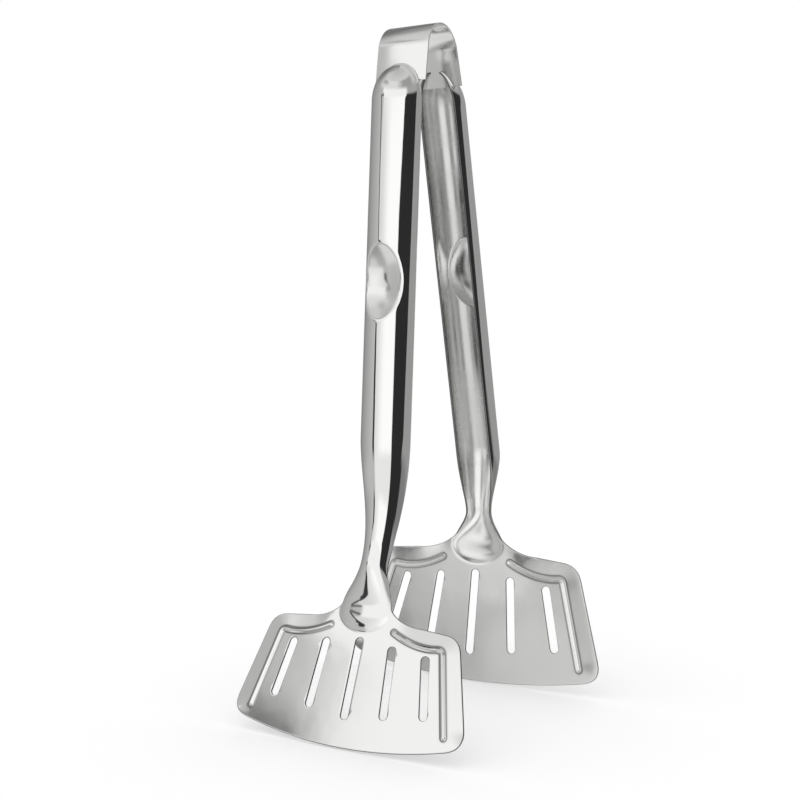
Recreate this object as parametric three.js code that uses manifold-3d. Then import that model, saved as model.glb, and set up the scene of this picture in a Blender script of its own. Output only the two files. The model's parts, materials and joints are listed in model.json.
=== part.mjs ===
// Fish spatula tongs: two pressed sheet-metal arms, each a channel handle and a slotted blade in
// one piece, joined by a sprung bow. Millimetres, +Z up, X across the blades, the front arm
// towards -Y. The tongs stand on the lower edges of both blades, as they do at rest.

import * as THREE from 'three';
import { mergeVertices } from 'three/addons/utils/BufferGeometryUtils.js';
import Module from 'manifold-3d';

const wasm = await Module();
wasm.setup();

// Driving dimensions

const armThickness = 1.2;
const overrun = 1;
const seatClearance = 0.3;

// Bow spring: a strip with a round crown and two straight legs
const springWidth = 27.8;
const springThickness = 1;
const springHalfSpan = 15.6;
const crownRise = 10.2;
const legLength = 19.1;
const legLean = THREE.MathUtils.degToRad(14);

// Where the handles hang below the crest of the spring
const handleLean = THREE.MathUtils.degToRad(8.8);
const handleTopDrop = 20;
const handleTopOffset = 15.3;

// Handle channel, a C section open on the inner side
const handleRadius = 12.2;
const handleOpeningWidth = 21;
const domeLength = 20;
const notchWidth = 6.6;
const notchDepth = 3;
const notchLength = 8;

// Thumb dish pressed into the back of each handle
const dishFromTop = 108;
const dishLength = 37;
const dishWidth = 20;
const dishDepth = 7;

// Neck and the tongue in which the channel runs out on the blade
const neckDepth = 8.4;
const tongueDepth = 3.4;
const tongueFromSlot = 13;
const tongueEndFromSlot = 2.5;
const tongueRoundLength = 10.5;

// The two arms differ in their blade, their neck and the way the blade is bent
const frontArm = {
  straightLength: 186.5,
  bendRadius: 150,
  bendAngle: THREE.MathUtils.degToRad(20),
  bendToSlot: 42,
  taperFromSlot: 99,
  neckFromSlot: 36,
  neckWidth: 14.3,
  tongueWidth: 28.6,
  shoulderWidth: 101.6,
  bottomWidth: 125.6,
  shoulderRise: 6.1,
  sideDrop: 42.3,
  bottomDrop: 51.1,
  shoulderRadius: 7,
  cornerRadius: 9,
  slotWidth: 4.2,
  beadWidth: 2.6,
};
const rearArm = {
  straightLength: 220.5,
  bendRadius: 111,
  bendAngle: THREE.MathUtils.degToRad(-23.3),
  bendToSlot: 8,
  taperFromSlot: 65,
  neckFromSlot: 32,
  neckWidth: 15.4,
  tongueWidth: 32.4,
  shoulderWidth: 121.2,
  bottomWidth: 156.6,
  shoulderRise: 7.6,
  sideDrop: 52,
  bottomDrop: 61.2,
  shoulderRadius: 8.5,
  cornerRadius: 11,
  slotWidth: 4.8,
  beadWidth: 3,
};

// Slots, as shares of half the shoulder width, half the bottom width and the side's drop
const slotTopShares = [[0, 0], [0.35, 0.048], [0.71, 0.102]];
const slotBottomShares = [[0, 0.905], [0.322, 0.841], [0.637, 0.775]];

// Bead along the top edge and down the side: start, corner and end, in the same shares
const beadTopShare = [0.34, -0.105];
const beadCornerShare = [0.86, 0.008];
const beadEndShare = [0.828, 0.907];
const beadHeight = 0.8;
const beadGrooveShare = 0.5;
const beadBevelShare = 0.45;

// The blade's top edge runs from the shoulder to the neck in a hollow curve
const flareStartShare = 0.6;
const flareRiseShare = 1.3;
const flareTopFromSlot = 23;
const flareTopWidthShare = 0.72;
const flareTopSteepShare = 1.9;
const flareFootShare = 0.6;

// Fineness of the faceted surfaces
const mergeShare = 1e-4;
const sectionSteps = 16;
const domeRings = 7;
const plainRings = 3;
const dishRings = 14;
const bendRings = 12;
const tongueRings = 6;
const curveSteps = 10;
const bottomSteps = 9;
const crownSteps = 14;
const levellingRounds = 6;

// Solids

function toSolid(geometry) {
  const bare = geometry.clone();
  bare.deleteAttribute('normal');
  bare.deleteAttribute('uv');
  const merged = mergeVertices(bare, armThickness * mergeShare);
  return new wasm.Manifold(new wasm.Mesh({
    numProp: 3,
    vertProperties: new Float32Array(merged.attributes.position.array),
    triVerts: new Uint32Array(merged.index.array),
  }));
}

function toGeometry(solid) {
  const mesh = solid.getMesh();
  const geometry = new THREE.BufferGeometry();
  geometry.setAttribute('position', new THREE.BufferAttribute(new Float32Array(mesh.vertProperties), 3));
  geometry.setIndex(new THREE.BufferAttribute(new Uint32Array(mesh.triVerts), 1));
  return geometry;
}

// A value that eases from one station to the next; stations are [place, value], places rising
function ease(stations, place) {
  let value = stations[0][1];
  for (let i = 1; i < stations.length; i += 1) {
    const [from, before] = stations[i - 1];
    const [to, after] = stations[i];
    const share = THREE.MathUtils.smoothstep(place, from, to);
    if (place > from) {
      value = before + (after - before) * share;
    }
  }
  return value;
}

// Channel: how wide and deep it is at a distance s below the top of the dome

function slotPlace(arm) {
  return arm.straightLength + arm.bendRadius * Math.abs(arm.bendAngle) + arm.bendToSlot;
}

function channelEnd(arm) {
  return slotPlace(arm) - tongueEndFromSlot;
}

function roundEnd(distance, length) {
  const share = THREE.MathUtils.clamp(1 - distance / length, 0, 1);
  return Math.sqrt(1 - share * share);
}

function channelSection(arm, s, inset) {
  const slot = slotPlace(arm);
  const openingHalf = handleOpeningWidth / 2;
  const rise = Math.sqrt(handleRadius * handleRadius - openingHalf * openingHalf);
  const taper = slot - arm.taperFromSlot;
  const neck = slot - arm.neckFromSlot;
  const tongue = slot - tongueFromSlot;
  const widths = [[taper, handleRadius], [neck, arm.neckWidth / 2], [tongue, arm.tongueWidth / 2]];
  const halfWidth = ease(widths, s);
  const depth = ease([[taper, handleRadius], [neck, neckDepth], [tongue, tongueDepth]], s);
  const centre = ease([[taper, rise], [neck, 0]], s);
  const top = roundEnd(s - inset, domeLength - inset);
  const end = roundEnd(channelEnd(arm) - inset - s, tongueRoundLength - inset);
  const share = Math.min(top, end);
  return {
    halfWidth: (halfWidth - inset) * share,
    depth: (depth - inset) * share,
    centre: centre * share,
  };
}

function dishPush(x, s) {
  const across = x / (dishWidth / 2);
  const along = (s - dishFromTop) / (dishLength / 2);
  const inside = 1 - across * across - along * along;
  return dishDepth * Math.max(inside, 0);
}

// The places of the rings along the channel, closer together where the shape changes
function ringPlaces(arm, inset) {
  const first = inset;
  const last = channelEnd(arm) - inset;
  const places = [];
  const span = (from, to, steps) => {
    for (let i = 0; i < steps; i += 1) {
      places.push(from + ((to - from) * i) / steps);
    }
  };
  for (let i = 1; i < domeRings; i += 1) {
    places.push(first + (domeLength - first) * (1 - Math.cos((i / domeRings) * (Math.PI / 2))));
  }
  const dishTop = dishFromTop - dishLength / 2;
  const dishBottom = dishFromTop + dishLength / 2;
  const bendTop = Math.min(slotPlace(arm) - arm.taperFromSlot, arm.straightLength);
  const neck = slotPlace(arm) - arm.neckFromSlot;
  const round = last - (tongueRoundLength - inset);
  span(domeLength, dishTop, plainRings);
  span(dishTop, dishBottom, dishRings);
  span(dishBottom, bendTop, plainRings);
  span(bendTop, neck, bendRings);
  span(neck, round, tongueRings);
  for (let i = 0; i < tongueRings; i += 1) {
    places.push(round + (last - round) * Math.sin((i / tongueRings) * (Math.PI / 2)));
  }
  return { first, last, places };
}

// A closed tub: the channel's surface, set in by the inset, with a flat lid at the given height
function tubGeometry(arm, inset, lidHeight) {
  const { first, last, places } = ringPlaces(arm, inset);
  const points = [];
  const rings = places.map((s) => {
    const { halfWidth, depth, centre } = channelSection(arm, s, inset);
    const reach = Math.acos(THREE.MathUtils.clamp(-centre / depth, -1, 1));
    const ring = [];
    const add = (x, h) => ring.push(points.push(x, -h, -s) / 3 - 1);
    if (lidHeight < 0) add(-halfWidth * Math.sin(reach), lidHeight);
    for (let j = 0; j <= sectionSteps; j += 1) {
      const turn = reach * ((2 * j) / sectionSteps - 1);
      const x = halfWidth * Math.sin(turn);
      const edge = j === 0 || j === sectionSteps;
      const h = edge ? 0 : centre + depth * Math.cos(turn);
      const pushed = Math.cos(turn) > 0 ? h - dishPush(x, s) : h;
      add(x, pushed);
    }
    if (lidHeight < 0) add(halfWidth * Math.sin(reach), lidHeight);
    return ring;
  });
  const addPole = (s) => {
    const upper = points.push(0, 0, -s) / 3 - 1;
    const lower = lidHeight < 0 ? points.push(0, -lidHeight, -s) / 3 - 1 : upper;
    return { upper, lower };
  };
  const top = addPole(first);
  const bottom = addPole(last);
  const faces = [];
  for (let i = 1; i < rings.length; i += 1) {
    const above = rings[i - 1];
    const below = rings[i];
    for (let j = 1; j < above.length; j += 1) {
      faces.push(above[j - 1], below[j - 1], below[j], above[j - 1], below[j], above[j]);
    }
    const end = above.length - 1;
    faces.push(above[0], above[end], below[end], above[0], below[end], below[0]);
  }
  const close = (ring, pole, flip) => {
    const fan = (a, b, c) => (flip ? faces.push(a, c, b) : faces.push(a, b, c));
    const end = ring.length - 1;
    for (let j = 1; j <= end; j += 1) {
      const wall = lidHeight < 0 && (j === 1 || j === end);
      if (!wall) fan(pole.upper, ring[j - 1], ring[j]);
    }
    if (lidHeight < 0) {
      fan(pole.lower, ring[0], ring[1]);
      fan(pole.lower, ring[1], pole.upper);
      fan(pole.upper, ring[end - 1], ring[end]);
      fan(pole.upper, ring[end], pole.lower);
    }
    fan(pole.lower, ring[end], ring[0]);
  };
  close(rings[0], top, false);
  close(rings[rings.length - 1], bottom, true);
  const geometry = new THREE.BufferGeometry();
  geometry.setAttribute('position', new THREE.Float32BufferAttribute(points, 3));
  geometry.setIndex(faces);
  return geometry;
}

// Blade: flat shapes in X and in height above the top of the middle slot

function bladePoint(arm, [acrossShare, dropShare], width) {
  return new THREE.Vector2((acrossShare * width) / 2, -dropShare * arm.sideDrop);
}

// Rounds the corner between two straight edges with a curve that starts a radius before it
function roundCorner(shape, before, corner, after, radius) {
  const start = corner.clone().add(before.clone().sub(corner).setLength(radius));
  const end = corner.clone().add(after.clone().sub(corner).setLength(radius));
  shape.lineTo(start.x, start.y);
  shape.quadraticCurveTo(corner.x, corner.y, end.x, end.y);
}

function bladeShape(arm) {
  const shoulder = new THREE.Vector2(arm.shoulderWidth / 2, arm.shoulderRise);
  const corner = new THREE.Vector2(arm.bottomWidth / 2, -arm.sideDrop);
  const flare = new THREE.Vector2(shoulder.x * flareStartShare, shoulder.y * flareRiseShare);
  const neck = new THREE.Vector2((arm.tongueWidth / 2) * flareTopWidthShare, flareTopFromSlot);
  const steep = flare.y * flareTopSteepShare;
  const foot = flare.x * flareFootShare;
  const mirror = (point) => new THREE.Vector2(-point.x, point.y);
  const bow = arm.bottomDrop - arm.sideDrop;
  const radius = (corner.x * corner.x + bow * bow) / (2 * bow);
  const half = Math.asin(corner.x / radius);
  const bottom = [];
  for (let i = 0; i <= bottomSteps; i += 1) {
    const turn = half * (1 - (2 * i) / bottomSteps);
    bottom.push(new THREE.Vector2(radius * Math.sin(turn), radius * (1 - Math.cos(turn)) - arm.bottomDrop));
  }
  const shape = new THREE.Shape();
  shape.moveTo(neck.x, neck.y);
  shape.bezierCurveTo(neck.x, steep, foot, flare.y, flare.x, flare.y);
  roundCorner(shape, flare, shoulder, corner, arm.shoulderRadius);
  roundCorner(shape, shoulder, corner, bottom[1], arm.cornerRadius);
  bottom.slice(1, -1).forEach((point) => shape.lineTo(point.x, point.y));
  roundCorner(shape, bottom[bottomSteps - 1], mirror(corner), mirror(shoulder), arm.cornerRadius);
  roundCorner(shape, mirror(corner), mirror(shoulder), mirror(flare), arm.shoulderRadius);
  shape.lineTo(-flare.x, flare.y);
  shape.bezierCurveTo(-foot, flare.y, -neck.x, steep, -neck.x, neck.y);
  return shape;
}

// A band of one width along three points, with round ends and a mitred corner
function bandShape(start, corner, end, halfWidth) {
  const first = corner.clone().sub(start).normalize();
  const second = end.clone().sub(corner).normalize();
  const middle = first.clone().add(second).normalize();
  const reach = halfWidth / middle.dot(first);
  const side = (point, direction, distance) => new THREE.Vector2(
    point.x - direction.y * distance,
    point.y + direction.x * distance,
  );
  const shape = new THREE.Shape();
  const startAngle = Math.atan2(first.y, first.x);
  const endAngle = Math.atan2(second.y, second.x);
  const outer = side(corner, middle, reach);
  const inner = side(corner, middle, -reach);
  shape.absarc(start.x, start.y, halfWidth, startAngle + Math.PI / 2, startAngle - Math.PI / 2, false);
  shape.lineTo(inner.x, inner.y);
  shape.absarc(end.x, end.y, halfWidth, endAngle - Math.PI / 2, endAngle + Math.PI / 2, false);
  shape.lineTo(outer.x, outer.y);
  return shape;
}

// Stands a flat shape up on the blade: its height is above the slots, its thickness towards -Y
function standUp(geometry, arm, from) {
  const upright = new THREE.Matrix4().makeBasis(
    new THREE.Vector3(1, 0, 0),
    new THREE.Vector3(0, 0, 1),
    new THREE.Vector3(0, -1, 0),
  );
  geometry.applyMatrix4(upright);
  return geometry.translate(0, -from, -slotPlace(arm));
}

function plateSolid(arm) {
  const settings = { depth: armThickness, bevelEnabled: false, curveSegments: curveSteps };
  return toSolid(standUp(new THREE.ExtrudeGeometry(bladeShape(arm), settings), arm, 0));
}

function slotCutters(arm) {
  const cutters = [];
  for (let i = 0; i < slotTopShares.length; i += 1) {
    const top = bladePoint(arm, slotTopShares[i], arm.shoulderWidth);
    const bottom = bladePoint(arm, slotBottomShares[i], arm.bottomWidth);
    const sides = i === 0 ? [1] : [1, -1];
    sides.forEach((side) => {
      const from = new THREE.Vector2(top.x * side, top.y - arm.slotWidth / 2);
      const to = new THREE.Vector2(bottom.x * side, bottom.y + arm.slotWidth / 2);
      const shape = bandShape(from, from.clone().lerp(to, 0.5), to, arm.slotWidth / 2);
      const settings = { depth: armThickness + 2 * overrun, bevelEnabled: false, curveSegments: curveSteps };
      cutters.push(toSolid(standUp(new THREE.ExtrudeGeometry(shape, settings), arm, -overrun)));
    });
  }
  return cutters;
}

function beadBands(arm, halfWidth) {
  return [1, -1].map((side) => {
    const flip = (point) => new THREE.Vector2(point.x * side, point.y);
    const start = flip(bladePoint(arm, beadTopShare, arm.shoulderWidth));
    const corner = flip(bladePoint(arm, beadCornerShare, arm.shoulderWidth));
    const end = flip(bladePoint(arm, beadEndShare, arm.bottomWidth));
    return bandShape(start, corner, end, halfWidth);
  });
}

function beadRidges(arm) {
  const bevel = beadHeight * beadBevelShare;
  return beadBands(arm, arm.beadWidth / 2 - bevel).map((shape) => {
    const settings = {
      depth: armThickness / 2 + beadHeight - bevel,
      bevelThickness: bevel,
      bevelSize: bevel,
      bevelSegments: 1,
      curveSegments: curveSteps / 2,
    };
    return toSolid(standUp(new THREE.ExtrudeGeometry(shape, settings), arm, armThickness / 2));
  });
}

function beadGrooves(arm) {
  const depth = armThickness * beadGrooveShare;
  return beadBands(arm, (arm.beadWidth / 2) * beadGrooveShare).map((shape) => {
    const settings = { depth: depth + overrun, bevelEnabled: false, curveSegments: curveSteps / 2 };
    return toSolid(standUp(new THREE.ExtrudeGeometry(shape, settings), arm, -overrun));
  });
}

// Placing: an arm's own frame has the top of its dome at the origin and the handle along -Z

const armPlacement = new THREE.Matrix4()
  .makeTranslation(0, -handleTopOffset, -handleTopDrop)
  .multiply(new THREE.Matrix4().makeRotationX(-handleLean));

// The front leg of the spring as a block in the spring's frame, grown by a clearance
function legBlock(clearance) {
  const length = legLength + clearance;
  const block = new THREE.BoxGeometry(
    springWidth + 2 * clearance,
    springThickness + 2 * clearance,
    length,
  );
  block.translate(0, springThickness / 2, -length / 2);
  block.rotateX(-legLean);
  return block.translate(0, -springHalfSpan, -crownRise);
}

function seatCutters() {
  const slot = legBlock(seatClearance).applyMatrix4(armPlacement.clone().invert());
  const notch = new THREE.BoxGeometry(notchWidth, notchDepth + overrun, notchLength + overrun);
  notch.translate(0, (overrun - notchDepth) / 2, (overrun - notchLength) / 2);
  return [toSolid(slot), toSolid(notch)];
}

// Bends the straight blank: the arm's middle line turns towards -Y over the bend
function bendBlank(geometry, arm) {
  const position = geometry.attributes.position;
  const side = Math.sign(arm.bendAngle);
  const total = Math.abs(arm.bendAngle);
  for (let i = 0; i < position.count; i += 1) {
    const s = -position.getZ(i);
    const past = s - arm.straightLength;
    if (past > 0) {
      const turn = Math.min(past / arm.bendRadius, total);
      const rest = past - turn * arm.bendRadius;
      const out = arm.bendRadius * (1 - Math.cos(turn)) + rest * Math.sin(turn);
      const down = arm.straightLength + arm.bendRadius * Math.sin(turn) + rest * Math.cos(turn);
      const h = -position.getY(i);
      position.setY(i, -side * out - h * Math.cos(turn));
      position.setZ(i, -down + side * h * Math.sin(turn));
    }
  }
  return geometry;
}

function armGeometry(arm) {
  let blank = plateSolid(arm);
  beadRidges(arm).forEach((ridge) => { blank = blank.add(ridge); });
  blank = blank.add(toSolid(tubGeometry(arm, 0, 0)));
  blank = blank.subtract(toSolid(tubGeometry(arm, armThickness, -overrun)));
  const cutters = [...slotCutters(arm), ...beadGrooves(arm), ...seatCutters()];
  cutters.forEach((cutter) => { blank = blank.subtract(cutter); });
  return bendBlank(toGeometry(blank), arm).applyMatrix4(armPlacement);
}

// Bow spring: its side profile, crown and legs, pushed out to the strip's width
function springGeometry() {
  const radius = (springHalfSpan * springHalfSpan + crownRise * crownRise) / (2 * crownRise);
  const reach = Math.asin(springHalfSpan / radius);
  const foot = (depth, length) => new THREE.Vector2(
    springHalfSpan + length * Math.sin(legLean) - depth * Math.cos(legLean),
    -crownRise - length * Math.cos(legLean) - depth * Math.sin(legLean),
  );
  const profile = [];
  const crown = (r, sign) => {
    for (let i = 0; i <= crownSteps; i += 1) {
      const turn = sign * reach * (1 - (2 * i) / crownSteps);
      profile.push(new THREE.Vector2(r * Math.sin(turn), r * Math.cos(turn) - radius));
    }
  };
  const mirror = (point) => new THREE.Vector2(-point.x, point.y);
  profile.push(foot(0, legLength));
  crown(radius, 1);
  profile.push(mirror(foot(0, legLength)), mirror(foot(springThickness, legLength)));
  crown(radius - springThickness, -1);
  profile.push(foot(springThickness, legLength));
  const settings = { depth: springWidth, bevelEnabled: false };
  const strip = new THREE.ExtrudeGeometry(new THREE.Shape(profile), settings);
  strip.translate(0, 0, -springWidth / 2);
  strip.applyMatrix4(new THREE.Matrix4().makeBasis(
    new THREE.Vector3(0, 1, 0),
    new THREE.Vector3(0, 0, 1),
    new THREE.Vector3(1, 0, 0),
  ));
  return strip;
}

// Assembly

const polished = new THREE.MeshStandardMaterial({ color: 0xc9c9c7, roughness: 0.12, metalness: 1 });
const satin = new THREE.MeshStandardMaterial({ color: 0xd2d1ce, roughness: 0.35, metalness: 1 });

function makeMesh(name, geometry, material) {
  const mesh = new THREE.Mesh(geometry, material);
  mesh.name = name;
  return mesh;
}

const spring = makeMesh('bow_spring', springGeometry(), satin);
const front = makeMesh('front_arm', armGeometry(frontArm), polished);
const rear = makeMesh('rear_arm', armGeometry(rearArm), polished);
rear.rotation.z = Math.PI;

const tongs = new THREE.Group();
tongs.add(spring, front, rear);

// Leans the tongs until both blades stand on one level, then sets them on the origin's plane
function lowestPoint(mesh) {
  mesh.updateWorldMatrix(true, false);
  const position = mesh.geometry.attributes.position;
  const point = new THREE.Vector3();
  let lowest = null;
  for (let i = 0; i < position.count; i += 1) {
    point.fromBufferAttribute(position, i).applyMatrix4(mesh.matrixWorld);
    if (!lowest || point.z < lowest.z) lowest = point.clone();
  }
  return lowest;
}

for (let round = 0; round < levellingRounds; round += 1) {
  const a = lowestPoint(front);
  const b = lowestPoint(rear);
  tongs.rotation.x -= Math.atan2(b.z - a.z, b.y - a.y);
}
tongs.updateMatrixWorld(true);
const box = new THREE.Box3().setFromObject(tongs, true);
const middle = box.getCenter(new THREE.Vector3());
tongs.position.set(-middle.x, -middle.y, -box.min.z);

export default tongs;
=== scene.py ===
# %% [markdown]
# # Fish spatula tongs
# The tongs are two pressed steel arms held apart by a bow spring. Each arm is one sheet: a channel
# handle with a thumb dish, which runs out in a tongue on a flat, slotted blade. This lesson loads the
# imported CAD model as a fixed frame, then makes each piece again with a surface smooth enough for
# polished steel. Every size below is in millimetres and is turned to metres at the end of a step.

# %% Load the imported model
import json
import math
import bpy
import numpy as np
from mathutils import Matrix, Vector, kdtree
from mathutils.geometry import delaunay_2d_cdt

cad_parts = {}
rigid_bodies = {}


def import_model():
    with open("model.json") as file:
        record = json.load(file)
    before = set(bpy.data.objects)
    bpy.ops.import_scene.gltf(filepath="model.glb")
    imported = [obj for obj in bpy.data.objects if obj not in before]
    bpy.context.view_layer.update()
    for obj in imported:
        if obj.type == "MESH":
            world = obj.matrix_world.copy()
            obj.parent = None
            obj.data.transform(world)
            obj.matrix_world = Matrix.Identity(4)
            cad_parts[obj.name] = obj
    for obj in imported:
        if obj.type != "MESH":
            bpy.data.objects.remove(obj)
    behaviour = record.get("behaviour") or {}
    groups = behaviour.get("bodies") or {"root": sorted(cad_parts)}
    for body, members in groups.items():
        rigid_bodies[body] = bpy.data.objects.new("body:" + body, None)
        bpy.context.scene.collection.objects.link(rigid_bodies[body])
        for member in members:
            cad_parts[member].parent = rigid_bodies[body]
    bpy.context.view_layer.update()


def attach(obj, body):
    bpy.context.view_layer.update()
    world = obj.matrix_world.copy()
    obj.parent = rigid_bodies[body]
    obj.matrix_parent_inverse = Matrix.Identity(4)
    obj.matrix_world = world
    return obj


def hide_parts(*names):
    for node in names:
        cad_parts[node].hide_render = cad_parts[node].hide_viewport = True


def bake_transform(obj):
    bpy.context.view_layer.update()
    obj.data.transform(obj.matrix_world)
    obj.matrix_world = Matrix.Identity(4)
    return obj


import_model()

MM = 0.001

# %% [markdown]
# ## The camera
# The photograph looks at the tongs from the right of the front arm, from a little over half of their
# height. A camera is a frame of three directions and a place, so it is built from an azimuth, a pitch
# and a slight roll. The lens follows from how strongly the near blade outgrows the far one.

# %% The camera
scene = bpy.context.scene
CAMERA_PLACE = (292.2, -552.35, 184.2)
CAMERA_AZIMUTH, CAMERA_PITCH, CAMERA_ROLL = 28.93, -2.43, 0.63
CAMERA_LENS, FILM_WIDTH = 55.05, 36
NEAREST, FARTHEST = 0.01, 20  # metres


def camera_axes(azimuth, pitch, roll):
    """Right, up and ahead of a camera, from its angles in degrees."""
    azimuth, pitch, roll = (math.radians(a) for a in (azimuth, pitch, roll))
    level = Vector((-math.sin(azimuth), math.cos(azimuth), 0))
    ahead = level * math.cos(pitch) + Vector((0, 0, math.sin(pitch)))
    right = ahead.cross(Vector((0, 0, 1))).normalized()
    up = right.cross(ahead)
    tilted_right = right * math.cos(roll) + up * math.sin(roll)
    tilted_up = up * math.cos(roll) - right * math.sin(roll)
    return tilted_right, tilted_up, ahead


right, up, ahead = camera_axes(CAMERA_AZIMUTH, CAMERA_PITCH, CAMERA_ROLL)
camera_data = bpy.data.cameras.new("camera")
camera_data.lens = CAMERA_LENS
camera_data.sensor_width = FILM_WIDTH
camera_data.clip_start, camera_data.clip_end = NEAREST, FARTHEST
camera = bpy.data.objects.new("camera", camera_data)
aimed = Matrix((right, up, -ahead)).transposed().to_4x4()
camera.matrix_world = Matrix.Translation(Vector(CAMERA_PLACE) * MM) @ aimed
scene.collection.objects.link(camera)
scene.camera = camera
print("camera", tuple(round(v, 3) for v in camera.location), "lens", CAMERA_LENS)

# %% [markdown]
# ## Sizes of the tongs
# These are the sizes of the real tongs, the same as in the CAD model. Each arm is described flat, as a
# straight blank: x runs across, s runs down from the top of the handle, and h rises towards the
# outside. Pressing the sheet gives it h, and bending turns the straight blank into the arm. At the end
# the pair is tilted about its crest, so that it stands on the lower edges of both blades.

# %% Sizes of the tongs
SHEET = 1.2
HALF_SHEET = SHEET / 2
HANDLE_RADIUS, HANDLE_OPENING = 12.2, 21
CENTRE_RISE = math.sqrt(HANDLE_RADIUS**2 - (HANDLE_OPENING / 2) ** 2)
DOME_LENGTH = 20
DISH_FROM_TOP, DISH_LENGTH, DISH_WIDTH, DISH_DEPTH = 108, 37, 20, 7
NECK_DEPTH, TONGUE_DEPTH = 8.4, 3.4
TONGUE_FROM_SLOT, TONGUE_END_FROM_SLOT, TONGUE_ROUND = 13, 2.5, 10.5
HANDLE_LEAN, HANDLE_TOP_DROP, HANDLE_TOP_OFFSET = math.radians(8.8), 20, 15.3
SPRING_WIDTH, SPRING_THICKNESS = 27.8, 1
SPRING_HALF_SPAN, CROWN_RISE = 15.6, 10.2
LEG_LENGTH, LEG_LEAN = 19.1, math.radians(14)
SEAT_CLEARANCE = 0.3
NOTCH_WIDTH = 6.6
REST_TILT, CREST_PLACE = math.radians(6.1883), (0, -10.0142, 344.4892)
STAND = Matrix.Translation(CREST_PLACE) @ Matrix.Rotation(REST_TILT, 4, "X")

FRONT = dict(
    straight=186.5, bend_radius=150, bend=math.radians(20), bend_to_slot=42, taper=99, neck=36,
    neck_width=14.3, tongue_width=28.6, shoulder_width=101.6, bottom_width=125.6, shoulder_rise=6.1,
    side_drop=42.3, bottom_drop=51, shoulder_radius=7, corner_radius=9, slot_width=4.2, bead_width=3.3,
)
REAR = dict(
    straight=220.5, bend_radius=111, bend=math.radians(-23.3), bend_to_slot=8, taper=65, neck=32,
    neck_width=15.4, tongue_width=32.4, shoulder_width=121.2, bottom_width=156.6, shoulder_rise=7.6,
    side_drop=52, bottom_drop=61.1, shoulder_radius=8.5, corner_radius=11, slot_width=4.8, bead_width=4,
)
for arm in (FRONT, REAR):
    arm["slot"] = arm["straight"] + arm["bend_radius"] * abs(arm["bend"]) + arm["bend_to_slot"]
    print("slot starts at s =", round(arm["slot"], 1), "mm")

# %% [markdown]
# ## The pressed section
# Cut across, the handle is a C of steel: part of a circle whose edges stay short of closing. Lower
# down the circle flattens to the shallow tongue on the blade. One formula gives the middle of the
# sheet at any s, so handle, neck and tongue flow into each other as they do in one pressing.

# %% The pressed section
LEAST_SHARE = 0.02


def smooth_step(value, start, end):
    """0 up to the start and 1 from the end on, with a soft rise between them."""
    share = np.clip((value - start) / (end - start), 0, 1)
    return share * share * (3 - 2 * share)


def ease(stations, place):
    """A value that glides from one station to the next, where each is a place and its value."""
    value = np.full_like(place, stations[0][1])
    for (start, before), (end, after) in zip(stations[:-1], stations[1:]):
        gliding = before + (after - before) * smooth_step(place, start, end)
        value = np.where(place > start, gliding, value)
    return value


def rounded(distance, length):
    """How much of the width is left at a distance from a round end."""
    share = np.clip(1 - distance / length, 0, 1)
    return np.sqrt(1 - share * share)


def section(arm, s):
    """Half width, depth and centre height of the C at each s, in the middle of the sheet."""
    taper, neck, tongue = (arm["slot"] - d for d in (arm["taper"], arm["neck"], TONGUE_FROM_SLOT))
    neck_half, tongue_half = arm["neck_width"] / 2, arm["tongue_width"] / 2
    width = ease([(taper, HANDLE_RADIUS), (neck, neck_half), (tongue, tongue_half)], s)
    depth = ease([(taper, HANDLE_RADIUS), (neck, NECK_DEPTH), (tongue, TONGUE_DEPTH)], s)
    centre = ease([(taper, CENTRE_RISE), (neck, 0.0)], s)
    top = rounded(s - HALF_SHEET, DOME_LENGTH - HALF_SHEET)
    nose_end = arm["slot"] - TONGUE_END_FROM_SLOT - HALF_SHEET
    nose = rounded(nose_end - s, TONGUE_ROUND - HALF_SHEET)
    share = np.maximum(np.minimum(top, nose), LEAST_SHARE)
    return (width - HALF_SHEET) * share, (depth - HALF_SHEET) * share, centre * share


def dish_push(x, s):
    """How deep the thumb dish is pressed in at each place."""
    across = x / (DISH_WIDTH / 2)
    along = (s - DISH_FROM_TOP) / (DISH_LENGTH / 2)
    return DISH_DEPTH * np.maximum(1 - across**2 - along**2, 0)


half_width, depth, centre = section(FRONT, np.array([60.0, 240.0]))
print("front handle and neck, half width", half_width.round(2), "depth", depth.round(2))

# %% [markdown]
# ## Laying the sheet out flat
# A sheet is easiest to describe unrolled. Here u is the distance across the unrolled sheet and v the
# distance along it, so a small square in (u, v) stays close to a square on the steel. A fine table of
# places is filled row by row and then blurred a little where the press leaves a rounded crease.

# %% Laying the sheet out flat: rows
DOME_ARC = 29.2
ARC_POINTS = 121
PLATE_START, PLATE_FULL = 50, 30  # above the slots


def s_of_v(v):
    """Distance down from the top for a distance along the sheet, which follows the dome's curve."""
    turn = np.clip(v / DOME_ARC, 0, 1) * math.pi / 2
    dome = HALF_SHEET + (DOME_LENGTH - HALF_SHEET) * (1 - np.cos(turn))
    return np.where(v < DOME_ARC, dome, DOME_LENGTH + v - DOME_ARC)


def v_of_s(s):
    """Distance along the sheet for a distance down from the top."""
    share = np.clip((s - HALF_SHEET) / (DOME_LENGTH - HALF_SHEET), 0, 1)
    dome = DOME_ARC * np.arccos(1 - share) * 2 / math.pi
    return np.where(s < DOME_LENGTH, dome, DOME_ARC + s - DOME_LENGTH)


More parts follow.
